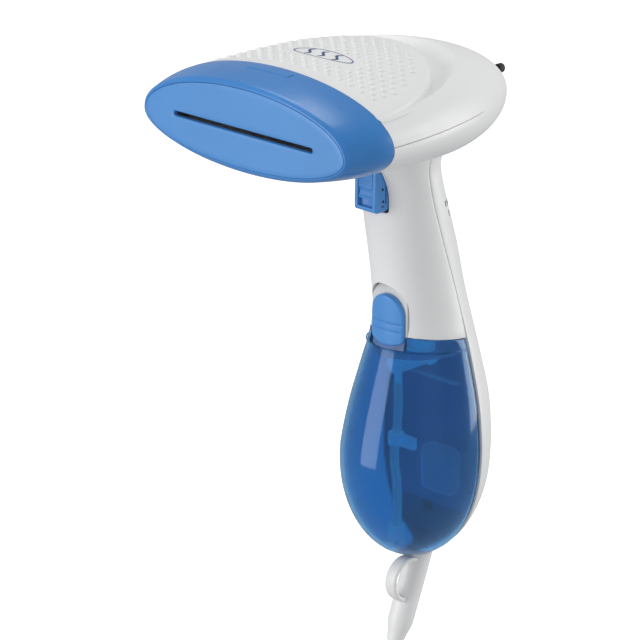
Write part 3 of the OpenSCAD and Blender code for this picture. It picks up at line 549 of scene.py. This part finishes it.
# %% Strain relief
RELIEF_START, RELIEF_WAY = Vector((0, 10.1, -162)), Vector((0, -0.37, -0.93)).normalized()
def strain_sleeve():
    profile = [(-6, 0), (-6, 6.8), (0, 6.8), (12, 6.8), (24, 6.8), (36, 6.8), (43, 6.78)]
    profile += [(43 + 12.4 * t, 6.8 - 2.2 * ease(t)) for t in (0.15, 0.3, 0.45, 0.6, 0.75, 0.9)]
    profile += [(55.4, 4.6), (55.9, 4.3), (56, 3.9), (56, 0)]
    piece = turned("strain_sleeve", RELIEF_START, RELIEF_WAY, profile, 48)
    low = ROUND_Z - ROUND_H
    beside_tank = [(seam_y(max(z, low + 1)) + 0.35, z) for z in (low - 0.5, low + 6, low + 14, low + 24)]
    cut(piece, plate("room", [(-60, low - 0.5)] + beside_tank + [(-60, low + 24)], "x", -20, 20))
    rounded(piece, 0.25, 2, 50)
    return piece

fit(strain_sleeve(), "steamer", shell_white, "strain_relief", slot="shell_white", angle=40)

# %% Hook
HOOK_R, HOOK_Y, HOOK_Z = 10.9, -4.3, -179.8
def hang_hook():
    """A flat band on a part circle; its width and thickness run out in a full round at both ends."""
    angles = np.radians(np.linspace(-262, -48, 61)) * -1
    rows = []
    for a in angles:
        from_end = min(abs(a - angles[0]), abs(a - angles[-1])) * HOOK_R
        full = math.sqrt(max(0.0, 1 - (1 - min(1.0, from_end / 3.2)) ** 2))
        wide, thick = 3.5 * full, 1.3 * math.sqrt(full)
        row = []
        for t in np.linspace(0, 2 * math.pi, 33):
            c, s = math.cos(t), math.sin(t)
            across = wide * math.copysign(abs(c) ** 0.45, c)
            out = HOOK_R + thick * math.copysign(abs(s) ** 0.6, s)
            row.append((1.2 + across, HOOK_Y + out * math.cos(a), HOOK_Z + out * math.sin(a)))
        rows.append(row)
    return loft("hang_hook_band", rows)

fit(hang_hook(), "steamer", shell_white, "hang_hook", slot="shell_white", angle=60)

# %% [markdown]
# ## White head
# The head's top is one moulding with a raised pad behind the nozzle. A crescent moat runs round the
# pad: wide and deep at the back, and only a fine line where it meets the blue nozzle. A net of
# half-ellipse rings gives the moat crisp edges, because some of the rings lie exactly on them.

# %% Top of the head
PAD, MOAT = (63.0, 78.0), (64.2, 99.0)
def head_top():
    rings = [(f * PAD[0], f * PAD[1], 0.0) for f in np.sin(np.linspace(0, 1, 13) * math.pi / 2) * 0.965]
    rings += [(PAD[0] * f, PAD[1] * f, d) for f, d in
              ((0.978, 0.02), (0.988, 0.1), (0.995, 0.3), (1.001, 0.62), (1.006, 0.88), (1.012, 0.98))]
    for t, d in ((0.08, 1.0), (0.25, 1.0), (0.45, 0.96), (0.62, 0.84),
                 (0.78, 0.6), (0.9, 0.3), (0.97, 0.1), (1.03, 0.01)):
        rings.append((between(PAD[0] * 1.012, MOAT[0], t), between(PAD[1] * 1.012, MOAT[1], t), d))
    last, rim = rings[-1], (HEAD_HALF * SEAM_SHARE, HEAD_LENGTH * SEAM_SHARE)
    for s in np.sin(np.linspace(0, 1, 17)[1:] * math.pi / 2):
        rings.append((between(last[0], rim[0], s), between(last[1], rim[1], s), 0.0))
    rows = []
    for a_len, b_len, d in rings:
        row = []
        for a in np.linspace(0, math.pi, 129):
            x, y = a_len * math.cos(a), NOSE_Y + b_len * math.sin(a)
            depth = 1.3 + 5.0 * ease((math.sin(a) - 0.3) / 0.5)
            row.append((x, y, top_at(x, y) - depth * d))
        rows.append(row)
    piece = loft("head_top", rows)
    faces_out(piece, (0, -40, 60))
    walled(piece)
    return fit(piece, "steamer", shell_white, "head_top_shell", slot="shell_white", angle=50)

head_top()

# %% Bottom of the head
def seam_gap(y):
    """The joint is an open line beside the nozzle and closes half way back."""
    return 0.28 * (1 - ease((y + 24) / 8))

def head_bottom():
    rows = []
    for s in np.sin(np.linspace(0, 1, 33) * math.pi / 2):
        rows.append([(HEAD_HALF * s * math.cos(a), NOSE_Y + HEAD_LENGTH * s * math.sin(a),
                      under_at(HEAD_HALF * s * math.cos(a), NOSE_Y + HEAD_LENGTH * s * math.sin(a)))
                     for a in np.linspace(0, math.pi, 129)])
    for share, drop in ((0.9997, 0.9), (0.9988, 0.45), (SEAM_SHARE, 0.0)):
        row = []
        for a in np.linspace(0, math.pi, 129):
            x, y = HEAD_HALF * share * math.cos(a), NOSE_Y + HEAD_LENGTH * share * math.sin(a)
            row.append((x, y, top_at(x, y) - (seam_gap(y) if drop == 0 else 0.0)))
        rows.append(row)
    piece = loft("head_bottom", rows)
    faces_out(piece, (0, -40, 110))
    walled(piece)
    return fit(piece, "steamer", shell_white, "head_lower_shell", slot="shell_white", angle=50)

head_bottom()

# %% [markdown]
# ## Dots and mark on the pad
# Low round dots in a staggered lattice cover the pad. One dot is a small dome; every dot is a copy
# of it laid on the surface, so the whole field stays light. A plain mark of three rising wisps of steam
# sits in a clear patch in the middle.

# %% Field of dots
MARK_Y, DOT_ROWS, ROW_STEP, COLUMN_STEP, FIELD_EDGE = -63.5, 24, 3.4, 7.4, 7.0
def clear_of_mark(x, y):
    return abs(x) > 22.5 or abs(y - MARK_Y) > 6.8

def pad_dots():
    dome = [(0, 0), (0.2, 1.7), (0.66, 1.5), (0.93, 0.85), (1.0, 0)]
    seed = turned("dot", (0, 0, -0.4), (0, 0, 1), dome, 10)
    shape = np.array([v.co for v in seed.data.vertices]) / MM
    copies = []
    for row_index in range(DOT_ROWS):
        y = NOSE_Y + 9.5 + ROW_STEP * row_index
        for col in range(-9, 10):
            x = (col + 0.5 * (row_index % 2)) * COLUMN_STEP
            on_field = math.hypot(x / (PAD[0] - FIELD_EDGE), (y - NOSE_Y) / (PAD[1] - FIELD_EDGE)) < 1
            if not (on_field and clear_of_mark(x, y)):
                continue
            slope_x, slope_y = (top_at(x - i, y - j) - top_at(x + i, y + j) for i, j in ((0.5, 0), (0, 0.5)))
            n = Vector((slope_x, slope_y, 1.0)).normalized()
            u = Vector((1, 0, 0)).cross(n).normalized()
            v = n.cross(u)
            place = np.array((x, y, top_at(x, y))) + shape @ np.array([v, u, n])
            dot = bpy.data.objects.new("dot", seed.data.copy())
            bpy.context.scene.collection.objects.link(dot)
            lay(dot, place)
            copies.append(dot)
    bpy.data.objects.remove(seed, do_unlink=True)
    piece = join("pad_dots", *copies)
    in_edit_mode(piece, normals_out)
    print("dots:", len(copies))
    return fit(piece, "steamer", shell_white, slot="shell_white", angle=60)

pad_dots()

# %% Mark of rising steam
steam_mark_blue = moulded("steam_mark_blue", (0.02, 0.06, 0.2), rough=(0.35, 0.5))
def on_pad(x, y, up):
    return (x, y, top_at(x, y) + up)

def steam_mark():
    wisps = []
    for shift in (-9.0, 0.0, 9.0):
        line = [(shift + 1.7 * math.sin(t * 2 * math.pi), MARK_Y + 7.8 * (t - 0.5))
                for t in np.linspace(0, 1, 25)]
        rows = []
        for i, (x, y) in enumerate(line):
            width = 0.25 + 0.75 * math.sin(math.pi * (i + 0.5) / 25)
            rows.append([on_pad(x + side * width, y, up)
                         for side, up in ((-1, -0.2), (-1, 0.12), (1, 0.12), (1, -0.2), (-1, -0.2))])
        rows = [[rows[0][0]] * 5] + rows + [[rows[-1][0]] * 5]
        wisps.append(loft("wisp", rows))
    ring_rows = []
    for r, h in ((18.6, -0.2), (18.6, 0.12), (19.4, 0.12), (19.4, -0.2), (18.6, -0.2)):
        ring_rows.append([on_pad(r * math.cos(t), MARK_Y + r * 0.27 * math.sin(t), h)
                          for t in np.linspace(0, 2 * math.pi, 65)])
    wisps.append(loft("mark_ring", ring_rows))
    return fit(join("steam_mark", *wisps), "steamer", steam_mark_blue)

steam_mark()

# %% [markdown]
# ## Blue nozzle
# The nozzle is a short oval hood. Its side swells quickly from the flat face to the head's width, and
# its front rim turns over into a small lip. The steam face is a separate plate with the long slot.

# %% Nozzle hood
# half width, rise above and fall below the widest line, and the height of that line
FACE_SHAPE, REAR_SHAPE = (68.4, 23.8, 18.6, 81.5), (74.5, 26.0, 23.0, 83.0)

def oval(share, inset, y, steps=160):
    """A nozzle section between the face (0) and the rear (1): taller above its widest line than below."""
    a_len, up, down, middle = (between(p, q, share) for p, q in zip(FACE_SHAPE, REAR_SHAPE))
    row = []
    for t in np.linspace(0, 2 * math.pi, steps + 1):
        s = math.sin(t)
        row.append(((a_len - inset) * math.cos(t), y, middle + ((up if s > 0 else down) - inset) * s))
    return row

def swell(s): return math.sin(min(1.0, max(0.0, s)) * math.pi / 2)

def nozzle_hood():
    deep = NOZZLE_DEPTH - 0.3
    lip = ((2.2, 2.0), (2.2, 0.5), (2.05, 0.12), (1.75, 0), (1.35, 0.06), (0.9, 0.28), (0.5, 0.65),
           (0.2, 1.15))
    rows = [oval(0, inset, FACE_Y + behind) for inset, behind in lip]
    for s in np.linspace(0.07, 1, 24):
        rows.append(oval(swell(s), 0.0, FACE_Y + deep * s))
    rows += [oval(1, 0.3, NOSE_Y - 0.2), oval(1, 2.2, NOSE_Y - 0.2)]
    for s in np.linspace(0.9, 0.15, 8):
        rows.append(oval(swell(s), 2.3, FACE_Y + deep * s))
    rows.append(rows[0])
    piece = loft("nozzle_hood", rows)
    return fit(piece, "steamer", nozzle_blue, "nozzle_shell", slot="nozzle_blue", angle=40)

nozzle_hood()

# %% Steam face with its slot
def steam_face():
    long_half, up_half, slot_z = 46.5, 1.3, HEAD_Z - 2.3
    turns = np.linspace(0, 2 * math.pi, 161)
    def slot_row(grow, y):
        a, b = long_half + grow, up_half + grow
        row = []
        for t in turns:
            x = a * math.cos(t)
            reach = max(0.0, abs(x) - (a - b)) / b
            up = b * math.sqrt(max(0.0, 1 - reach * reach))
            row.append((x, y, slot_z + math.copysign(up, math.sin(t))))
        return row
    front, rear = FACE_Y, FACE_Y + 2.4
    rows = [slot_row(0, rear), slot_row(0, front + 0.5), slot_row(0.12, front + 0.2), slot_row(0.45, front)]
    inner, outer = slot_row(0.45, front), oval(0, 2.5, front)
    for f in (0.1, 0.25, 0.45, 0.65, 0.85):
        rows.append([tuple(p + (q - p) * f for p, q in zip(a, b)) for a, b in zip(inner, outer)])
    rows += [outer, oval(0, 2.3, front + 0.08), oval(0, 2.24, front + 0.3), oval(0, 2.24, rear)]
    rows.append(slot_row(0, rear))
    piece = loft("steam_face", rows)
    return fit(piece, "steamer", face_blue, "face_plate", slot="nozzle_blue", angle=40)

steam_face()

# %% Snap tab on top of the hood
def hood_at(x, y, up):
    e = swell((y - FACE_Y) / (NOZZLE_DEPTH - 0.3))
    a_len, high, _, middle = (between(p, q, e) for p, q in zip(FACE_SHAPE, REAR_SHAPE))
    return (x, y, middle + high * math.sqrt(1 - (x / a_len) ** 2) + up)

def snap_tab():
    """A shallow raised bar, bent to follow the hood."""
    xs, tab_y = np.linspace(-13.5, 13.5, 25), -98.5
    bar = [(-2.4, -0.4), (-2.4, 0.05), (-2.1, 0.28), (2.1, 0.28), (2.4, 0.05), (2.4, -0.4), (-2.4, -0.4)]
    rows = []
    for dy, up in bar:
        row = [hood_at(x, tab_y + dy, up) for x in xs]
        rows.append([hood_at(xs[0], tab_y, -0.2)] + row + [hood_at(xs[-1], tab_y, -0.2)])
    piece = loft("snap_tab", rows)
    return fit(piece, "steamer", nozzle_blue, slot="nozzle_blue")

snap_tab()

# %% Rubber rest feet
def rest_feet():
    foot_x, feet = 20, []
    y = NOSE_Y + HEAD_LENGTH * math.sqrt(1 - (foot_x / HEAD_HALF) ** 2)
    for side in (-1, 1):
        feet.append(turned("foot", (side * foot_x, y - 1.2, HEAD_Z + 2.8), (0, 1, 0),
                           [(0, 0), (0, 2.4), (3.0, 2.4), (3.6, 2.1), (3.9, 1.5), (3.9, 0)], 24))
    return fit(join("rest_feet_rubber", *feet), "steamer", soft_black, "rest_feet", slot="rubber_black")

rest_feet()

# %% [markdown]
# ## White handle
# The handle is two mouldings that meet on a seam running down each side. The front half ends above the
# tank; the back half runs on behind it as the spine. Both skins start at the head, where they flare out
# into a collar, and get real walls, so the seam is a true gap.

# %% Front half of the handle
COLLAR_LOW, COLLAR_TOP = 41, 56
COLLAR_HEIGHTS = (COLLAR_LOW, 44, 46.5, 49, 51, 53, 54.5, COLLAR_TOP)

def flare(z):
    """How far the collar stands out where the handle meets the head."""
    return 3.4 * ease((z - COLLAR_LOW) / 16) ** 1.5

def flared(row, height):
    """Moves a section outwards by the flare and, in the collar, up against the head."""
    rise = max(0.0, (height - COLLAR_LOW) / (COLLAR_TOP - COLLAR_LOW))
    done = []
    for x, y, z in row:
        c = mid_y(z)
        w, d = max(half_w(z), 1e-6), max(half_d(z), 1e-6)
        n = Vector((x / w ** 2, (y - c) / d ** 2, 0)).normalized()
        p = Vector((x, y, z)) + n * flare(z)
        p.z += (under_at(p.x, p.y) + 1.2 - COLLAR_TOP) * rise
        done.append(tuple(p))
    return done

def front_half():
    rows = []
    heights = [*range(EDGE_Z, -20, 4), *range(-20, 31, 5), 34, 38, *COLLAR_HEIGHTS]
    for z in heights:
        row = arc(z, False, -0.2)
        lean = max(0.0, 1 - (z - EDGE_Z) / 12)
        row = [(x, y, h + (edge_at(y) - EDGE_Z) * lean) for x, y, h in row]
        rows.append(flared(row, z))
    piece = loft("handle_front", rows)
    faces_out(piece, (0, 0, 0))
    walled(piece)
    rounded(piece, 0.3, 2, 60)
    return piece

def arched(name, r, steps, foot, low, high):
    """A plate with a half round top at the latch's height and straight sides down to its foot."""
    arch = [(r * math.cos(t), -27 + r * math.sin(t)) for t in np.linspace(0, math.pi, steps)]
    return plate(name, arch + [(-r, foot), (r, foot)], "y", low, high)

front = front_half()
cut(front, arched("scoop_cutter", 12.4, 33, -60, -40, -10))
cut(front, box_between("trigger_cutter", (-7.7, -50, 24.2), (7.7, -16, 75), 1.2))
fit(front, "steamer", shell_white, "handle_front_shell", slot="shell_white", angle=40)

# %% Back half and spine
def back_half():
    rows = []
    heights = [*reversed(COLLAR_HEIGHTS), 38, 34, *range(30, -112, -4), -112]
    for z in heights:
        rows.append(flared(arc(z, True, 0.2), z))
    for a in np.linspace(0, math.pi / 2, 15)[1:]:
        z = ROUND_Z - ROUND_H * math.sin(a)
        rows.append([(x, y, z) for x, y, _ in arc(z, True, 0.2)])
    piece = loft("handle_back", rows)
    faces_out(piece, (0, 10, -60))
    walled(piece)
    rounded(piece, 0.3, 2, 60)
    return piece

SELECTOR_Z, TILT = 23.0, math.radians(20)
def at_selector(x, out, up):
    """A point given across, out of and up along the handle's back at the heat switch."""
    y0, c, s = mid_y(SELECTOR_Z) + half_d(SELECTOR_Z), math.cos(TILT), math.sin(TILT)
    return (x, y0 + out * c - up * s, SELECTOR_Z + out * s + up * c)

def leaning_block(name, low, high, bevel=0.0, segments=2):
    piece = box_between(name, low, high, bevel, segments)
    lay(piece, [at_selector(*(v.co / MM)) for v in piece.data.vertices])
    return piece

back = back_half()
cut(back, leaning_block("selector_cutter", (-3.9, -8, -6.9), (3.9, 6, 6.9), 0.8))
fit(back, "steamer", shell_white, "handle_back_shell", slot="shell_white", angle=40)

# %% [markdown]
# ## Heat switch
# A small black slider with cross ribs sits in a slot in the handle's back. Two heat levels are marked
# beside it with plain strokes: one for low and three for high.

# %% Slider and its marks
SELECTOR_START = -2.5
def heat_slider():
    body = leaning_block("heat_slider", (-3.5, -1.6, SELECTOR_START - 4), (3.5, 1.3, SELECTOR_START + 4),
                         bevel=0.4, segments=3)
    ribs = [leaning_block("rib", (-3.1, 1.0, SELECTOR_START + k - 0.45),
                          (3.1, 2.0, SELECTOR_START + k + 0.45), bevel=0.3, segments=3)
            for k in (-3.1, -1.55, 0.0, 1.55, 3.1)]
    stem = leaning_block("stem", (-2, -4, SELECTOR_START - 2), (2, -1.4, SELECTOR_START + 2), 0.2, 2)
    return join("heat_slider", body, stem, *ribs)

fit(heat_slider(), "selector", dark_plastic, "heat_selector", slot="dark_plastic")

# %% Strokes beside the slider
def heat_marks():
    """Three strokes for high and one for low, laid on the side of the back half."""
    stroke = [(-1.3, -0.3), (-1.3, 0.04), (-1.0, 0.1), (1.0, 0.1), (1.3, 0.04), (1.3, -0.3), (-1.3, -0.3)]
    parts = []
    for turn, z0 in ((50, 25.4), (57, 25.4), (64, 25.4), (57, 19.6)):
        rows = []
        for da, up in stroke:
            a = math.radians(turn + da)
            row = []
            for z in (z0 - 1.5, z0 - 1.5, z0 + 1.5, z0 + 1.5):
                row.append(((half_w(z) + up) * math.sin(a), mid_y(z) + (half_d(z) + up) * math.cos(a), z))
            mid = math.radians(turn)
            for end in (0, 3):
                z = row[end][2]
                row[end] = (half_w(z) * math.sin(mid), mid_y(z) + half_d(z) * math.cos(mid), z)
            rows.append(row)
        parts.append(loft("mark", rows))
    return join("heat_marks", *parts)

fit(heat_marks(), "steamer", dark_plastic, slot="dark_plastic")

# %% [markdown]
# ## Trigger and its lock
# The trigger is a blue lever under the head. A ribbed lock slides in a groove down its front. The
# profile is drawn from the side and extruded to its width; the groove and the thumb hollow are cut out
# of it, and every edge is rolled over.

# %% Trigger lever
PIN_Y, PIN_Z = -24, 50

def trigger_lever():
    outline = [(-34.8, 26.4), (-34.85, 31), (-34.5, 47.6), (-33.9, 50.6), (-32.3, 53.4), (-26, 53.6)]
    outline += [(PIN_Y + 4 * math.cos(a), PIN_Z + 4 * math.sin(a)) for a in np.radians(range(80, -41, -20))]
    outline += [(-22.2, 42.5), (-23.2, 37.5), (-24.6, 31), (-25.0, 26.2), (-29, 25.4), (-33.6, 25.5)]
    lever = plate("trigger_lever", outline, "x", -7.2, 7.2)
    rounded(lever, 0.9, 4, 30)
    cut(lever, rod("pin_hole", (-20, PIN_Y, PIN_Z), 1.7, 40))
    cut(lever, box_between("groove", (-5, -38, 28.0), (5, -32.2, 49.4)))
    cut(lever, box_between("spring_room", (-3.4, -28, 45.6), (3.4, -18, 60), 0.4))
    rounded(lever, 0.18, 2, 60)
    return lever

fit(trigger_lever(), "trigger", button_blue, "trigger", slot="button_blue", angle=30)

# %% Marks on the side of the trigger
def trigger_marks():
    """Two dots for the two places of the lock, with a thin line beside them and a short dash below."""
    dot = [(0, 0), (0, 0.75), (0.28, 0.75), (0.32, 0.6), (0.32, 0)]
    parts = [turned("dot", (7.0, y, z), (1, 0, 0), dot, 20) for y, z in ((-29.6, 37.2), (-29.3, 31.0))]
    parts.append(box_between("line", (7.0, -27.7, 29.6), (7.3, -27.2, 38.4), 0.08, 2))
    parts.append(box_between("dash", (7.0, -30.4, 28.2), (7.3, -28.4, 28.8), 0.08, 2))
    return join("trigger_marks", *parts)

fit(trigger_marks(), "trigger", dark_plastic)

# %% Lock slide
def lock_slide():
    block = box_between("lock_slide", (-4.7, -34.5, 32.0), (4.7, -32.55, 49.0), 0.45, 3)
    cut(block, rod("thumb_hollow", (-12, -37.1, 35.4), 3.6, 24, 48))
    ribs = [box_between("rib", (-4.0, -34.78, 38.9 + 1.15 * k), (4.0, -34.2, 39.5 + 1.15 * k), 0.22, 3)
            for k in range(9)]
    return join("lock_slide", block, *ribs)

fit(lock_slide(), "trigger_lock", button_blue, "trigger_lock", slot="button_blue", angle=30)

# %% [markdown]
# ## Tank latch
# The latch is a thumb piece in a round scoop above the tank. Its face is crowned, like a piece of a wide
# pipe, and carries two grooves for grip. A white plate closes the scoop behind it.

# %% Latch
LATCH_R, LATCH_TOP_Z, LATCH_Y = 11.0, -32.0, -20.6

def latch_bottom(x):
    corner = max(0.0, (abs(x) - 8.8) / 2.2)
    return -47.4 + 1.8 * (x / 9.4) ** 2 + 2.0 * (1 - math.sqrt(max(0.0, 1 - corner ** 2)))

def thumb_latch():
    """A fine grid fills the outline. It is crowned, rolled over at its edge and pressed in at the grooves."""
    rows = []
    for v in np.linspace(0, 1, 121):
        row = []
        for u in np.linspace(-1, 1, 57):
            x = LATCH_R * math.sin(u * math.pi / 2) * 0.9999
            top, low = LATCH_TOP_Z + math.sqrt(LATCH_R ** 2 - x * x), latch_bottom(x)
            v2 = 0.5 - 0.5 * math.cos(math.pi * v)
            z = top + (low - top) * (0.45 * v2 + 0.55 * v)
            inside = LATCH_R - (math.hypot(x, z - LATCH_TOP_Z) if z > LATCH_TOP_Z else abs(x))
            edge = min(max(inside, 0.0), max(z - low, 0.0))
            roll = 1.1 * (1 - math.sqrt(max(0.0, 1 - (1 - min(1.0, edge / 1.1)) ** 2)))
            press = sum(0.62 * math.exp(-((z - groove) / 0.42) ** 2) for groove in (-35.4, -39.4))
            press *= min(1.0, max(0.0, edge - 0.5) / 0.8)
            row.append((x, LATCH_Y + 26 - math.sqrt(26 ** 2 - x * x) + roll + press, z))
        rows.append(row)
    latch = loft("thumb_latch", rows)
    in_edit_mode(latch, lambda: bpy.ops.mesh.select_mode(type="EDGE"),
                 lambda: bpy.ops.mesh.select_all(action="DESELECT"),
                 lambda: bpy.ops.mesh.select_non_manifold(use_wire=False, use_multi_face=False,
                                                          use_non_contiguous=False, use_verts=False),
                 lambda: bpy.ops.mesh.extrude_edges_move(),
                 lambda: bpy.ops.transform.resize(value=(1, 0, 1), center_override=(0, -16.8 * MM, 0)),
                 lambda: bpy.ops.mesh.edge_face_add(), lambda: bpy.ops.mesh.select_mode(type="VERT"))
    merge(latch)
    tongue = box_between("tongue", (-3.8, -17.2, -41.4), (3.8, -12.0, -34), 0.3)
    return join("thumb_latch", latch, tongue)

fit(thumb_latch(), "latch", button_blue, "tank_latch", slot="button_blue", angle=40)

# %% Plate behind the latch
def scoop_plate():
    guide = arched("scoop_plate", 12.1, 41, -41.6, -16.4, -14.9)
    cut(guide, box_between("tongue_slot", (-4.0, -20, -42.5), (4.0, -10, -29.4)))
    rounded(guide, 0.2, 2, 50)
    return guide

fit(scoop_plate(), "steamer", inner_white, "latch_guide", slot="inner_plastic")

# %% [markdown]
# ## Water tank
# The tank carries the handle's section on down to a rounded end. It is moulded in clear blue plastic
# with a 2 mm wall, so its inner parts show through: the lid with its filler cap, the outlet valve,
# and the pick-up hose with its clip and weight.

# %% Tank wall
def tank_section(z, extra=0.0):
    """The front of a handle section, pulled in by the gap, with a flat back and round corners."""
    front_part = np.array(arc(z, False, -GAP - extra, 96))
    steps = np.r_[0, np.cumsum(np.linalg.norm(np.diff(front_part, axis=0), axis=1))]
    corner = min(2.6, steps[-1] * 0.12)
    keep = np.linspace(corner, steps[-1] - corner, 65)
    body = [tuple(float(np.interp(k, steps, front_part[:, i])) for i in range(3)) for k in keep]
    left, right = front_part[0], front_part[-1]
    inward = min(corner, abs(right[0]) * 0.5)
    def turn(a, b, c):
        return [tuple((1 - t) ** 2 * np.array(a) + 2 * t * (1 - t) * np.array(b) + t * t * np.array(c))
                for t in np.linspace(0, 1, 7)[1:]]
    r0 = (right[0] - inward, right[1], right[2])
    l0 = (left[0] + inward, left[1], left[2])
    row = body + turn(body[-1], right, r0)
    row += [tuple(np.array(r0) + (np.array(l0) - np.array(r0)) * t) for t in np.linspace(0, 1, 15)[1:]]
    return row + turn(l0, left, body[0])

def tank_wall():
    rows = []
    heights = [EDGE_Z, -46, -48, -50, -52.5, -55, -58, -62, -66, -70, *range(-75, -111, -5), -112]
    for k, z in enumerate(heights):
        row = tank_section(z)
        if k < 4:
            part = (1, 0.7, 0.42, 0.18)[k]
            row = [(x, y, h + (edge_at(y) - 0.5 - EDGE_Z) * part) for x, y, h in row]
        rows.append(row)
    for a in np.linspace(0, math.pi / 2, 26)[1:-1]:
        s = math.sin(a)
        rows.append(tank_section(ROUND_Z - ROUND_H * s, 3 * s * s))
    last = rows[-1]
    middle = tuple(sum(p[i] for p in last[:-1]) / (len(last) - 1) for i in (0, 1))
    rows.append([(middle[0], middle[1], ROUND_Z - ROUND_H)] * len(last))
    tank = loft("tank_wall", rows)
    faces_out(tank, (0, 0, -100))
    apply(tank, "SOLIDIFY", thickness=2.0 * MM, offset=-1.0, use_even_offset=True)
    cut(tank, box_between("latch_notch", (-11.5, -60, -49.3), (11.5, -5, -20)))
    rounded(tank, 0.3, 2, 60)
    return tank

fit(tank_wall(), "tank", tank_blue, "water_tank", slot="tank_blue", angle=50)

# %% Chamber moulded inside the tank
def inner_chamber():
    """A rounded box on the tank's rear wall that keeps the pick-up hose in the middle."""
    chamber = box_between("inner_chamber", (3, 1.5, -131), (25, 13.2, -105))
    in_edit_mode(chamber, lambda: bpy.ops.mesh.subdivide(number_cuts=1))
    rounded(chamber, 5.0, 6, 40)
    apply(chamber, "SOLIDIFY", thickness=1.2 * MM, offset=-1.0)
    shelf = box_between("shelf", (-22, 9.5, -72), (22, 13.4, -70.4), 0.6)
    return join("inner_chamber", chamber, shelf)

fit(inner_chamber(), "tank", lid_blue, slot="tank_blue", angle=50)

# %% Bead under the tank's rim
def rim_bead():
    """A fine raised line that follows the lid round the tank."""
    bead_z, swollen = -51.2, 1.004
    line, c = tank_section(bead_z)[:65], mid_y(bead_z)
    path = [(x * swollen, c + (y - c) * swollen, bead_z - (y - c) * 0.1) for x, y, _ in line]
    return pipe("rim_bead", path, 0.45, 8)

fit(rim_bead(), "tank", tank_blue, angle=60)

# %% Finishes of the hidden and inner parts
inner_finish = {
    "handle_floor": inner_white, "spine_liner": liner_white, "latch_spring": steel, "latch_anchor": inner_white,
    "trigger_pin": steel, "trigger_spring": steel, "trigger_bracket": inner_white, "microswitch": dark_plastic,
    "switch_plunger": soft_black, "selector_switch": dark_plastic, "pump_coil": copper_wire, "pump_tube": steel,
    "pump_piston": steel, "boiler_body": cast_aluminium, "boiler_lid": cast_aluminium, "inlet_nipple": brass,
    "heating_element": steel, "steam_duct": cast_aluminium, "slot_seal": seal_grey, "thermostat": steel,
    "thermal_fuse": seal_grey, "boiler_screws": steel, "inlet_socket": seal_grey, "suction_hose": hose_clear,
    "delivery_hose": hose_clear, "inner_leads": soft_black, "tank_lid": lid_blue, "fill_cap": pale_blue,
    "outlet_valve": pale_blue, "valve_ring": soft_black, "pickup_hose": hose_clear, "pickup_weight": pale_blue,
    "hose_clip": pale_blue, "shell_screws": steel}
for name, finish in inner_finish.items():
    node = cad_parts[name]
    if node.data.materials:
        for i in range(len(node.data.materials)):
            node.data.materials[i] = finish
    else:
        node.data.materials.append(finish)
print("CAD nodes given a finish:", len(inner_finish))

# %% [markdown]
# ## Studio
# A large soft light on the left gives the long pale reflection on the tank. One behind on the right, one
# above and a fill light on the right open up the shadows, and the floor and the world are plain and nearly
# white. The steamer is held in the air, so the floor lies below the plug and shows as an even background.

# %% Floor
FLOOR_Z, FLOOR_SIZE = -0.482, 24

def studio_floor():
    floor = added("studio_floor", bpy.ops.mesh.primitive_plane_add, size=FLOOR_SIZE, location=(0, 0, FLOOR_Z))
    bpy.ops.object.transform_apply(location=True, rotation=True, scale=True)
    material, nodes, links, shader = new_material("paper_white")
    texture = noise(nodes, links, 3.0, 3.0)
    paper = tint(nodes, links, texture.outputs["Fac"], (0.93, 0.93, 0.93), (0.95, 0.95, 0.95))
    links.new(paper, shader.inputs["Base Color"])
    shader.inputs["Emission Color"].default_value = (1, 1, 1, 1)
    shader.inputs["Emission Strength"].default_value = 0.72
    shader.inputs["Roughness"].default_value = 0.9
    shader.inputs["Specular IOR Level"].default_value = 0.1
    floor.data.materials.append(material)
    # The paper shows white without flooding the steamer with light from below, and without a white veil
    # over the lower half of the clear tank.
    floor.visible_diffuse = floor.visible_glossy = False

studio_floor()

# %% Lights and world
def soft_light(name, place, aim, size, power):
    """A rectangle of light, in metres and watts, that faces its aim."""
    lamp = bpy.data.lights.new(name, "AREA")
    lamp.shape, lamp.size, lamp.size_y = "RECTANGLE", size[0], size[1]
    lamp.energy = power
    light = bpy.data.objects.new(name, lamp)
    bpy.context.scene.collection.objects.link(light)
    light.location = place
    light.rotation_euler = (Vector(aim) - Vector(place)).to_track_quat("-Z", "Y").to_euler()
    return light

soft_light("key_left", (-0.5, -1.3, 0.25), (0, 0, -0.05), (0.9, 1.5), 12.5)
soft_light("rim_right", (0.7, 1.2, 0.25), (0, 0, -0.04), (0.6, 1.4), 9.5)
soft_light("top", (-0.45, 0.1, 1.3), (0, -0.04, 0.05), (0.7, 0.7), 6)
fill = soft_light("fill_right", (1.35, -0.3, -0.05), (0, 0, -0.08), (0.8, 1.4), 3)
fill.visible_glossy = False      # it lifts the shadows without a second streak on the tank
world = bpy.data.worlds.new("studio_world")
bpy.context.scene.world = world
world.use_nodes = True
world.node_tree.nodes["Background"].inputs["Color"].default_value = (0.97, 0.98, 1, 1)
world.node_tree.nodes["Background"].inputs["Strength"].default_value = 0.44
bpy.context.scene.view_settings.view_transform = "Standard"
bpy.context.scene.view_settings.look = "None"

# %% Measure and finish
print("pieces made:", len(made))
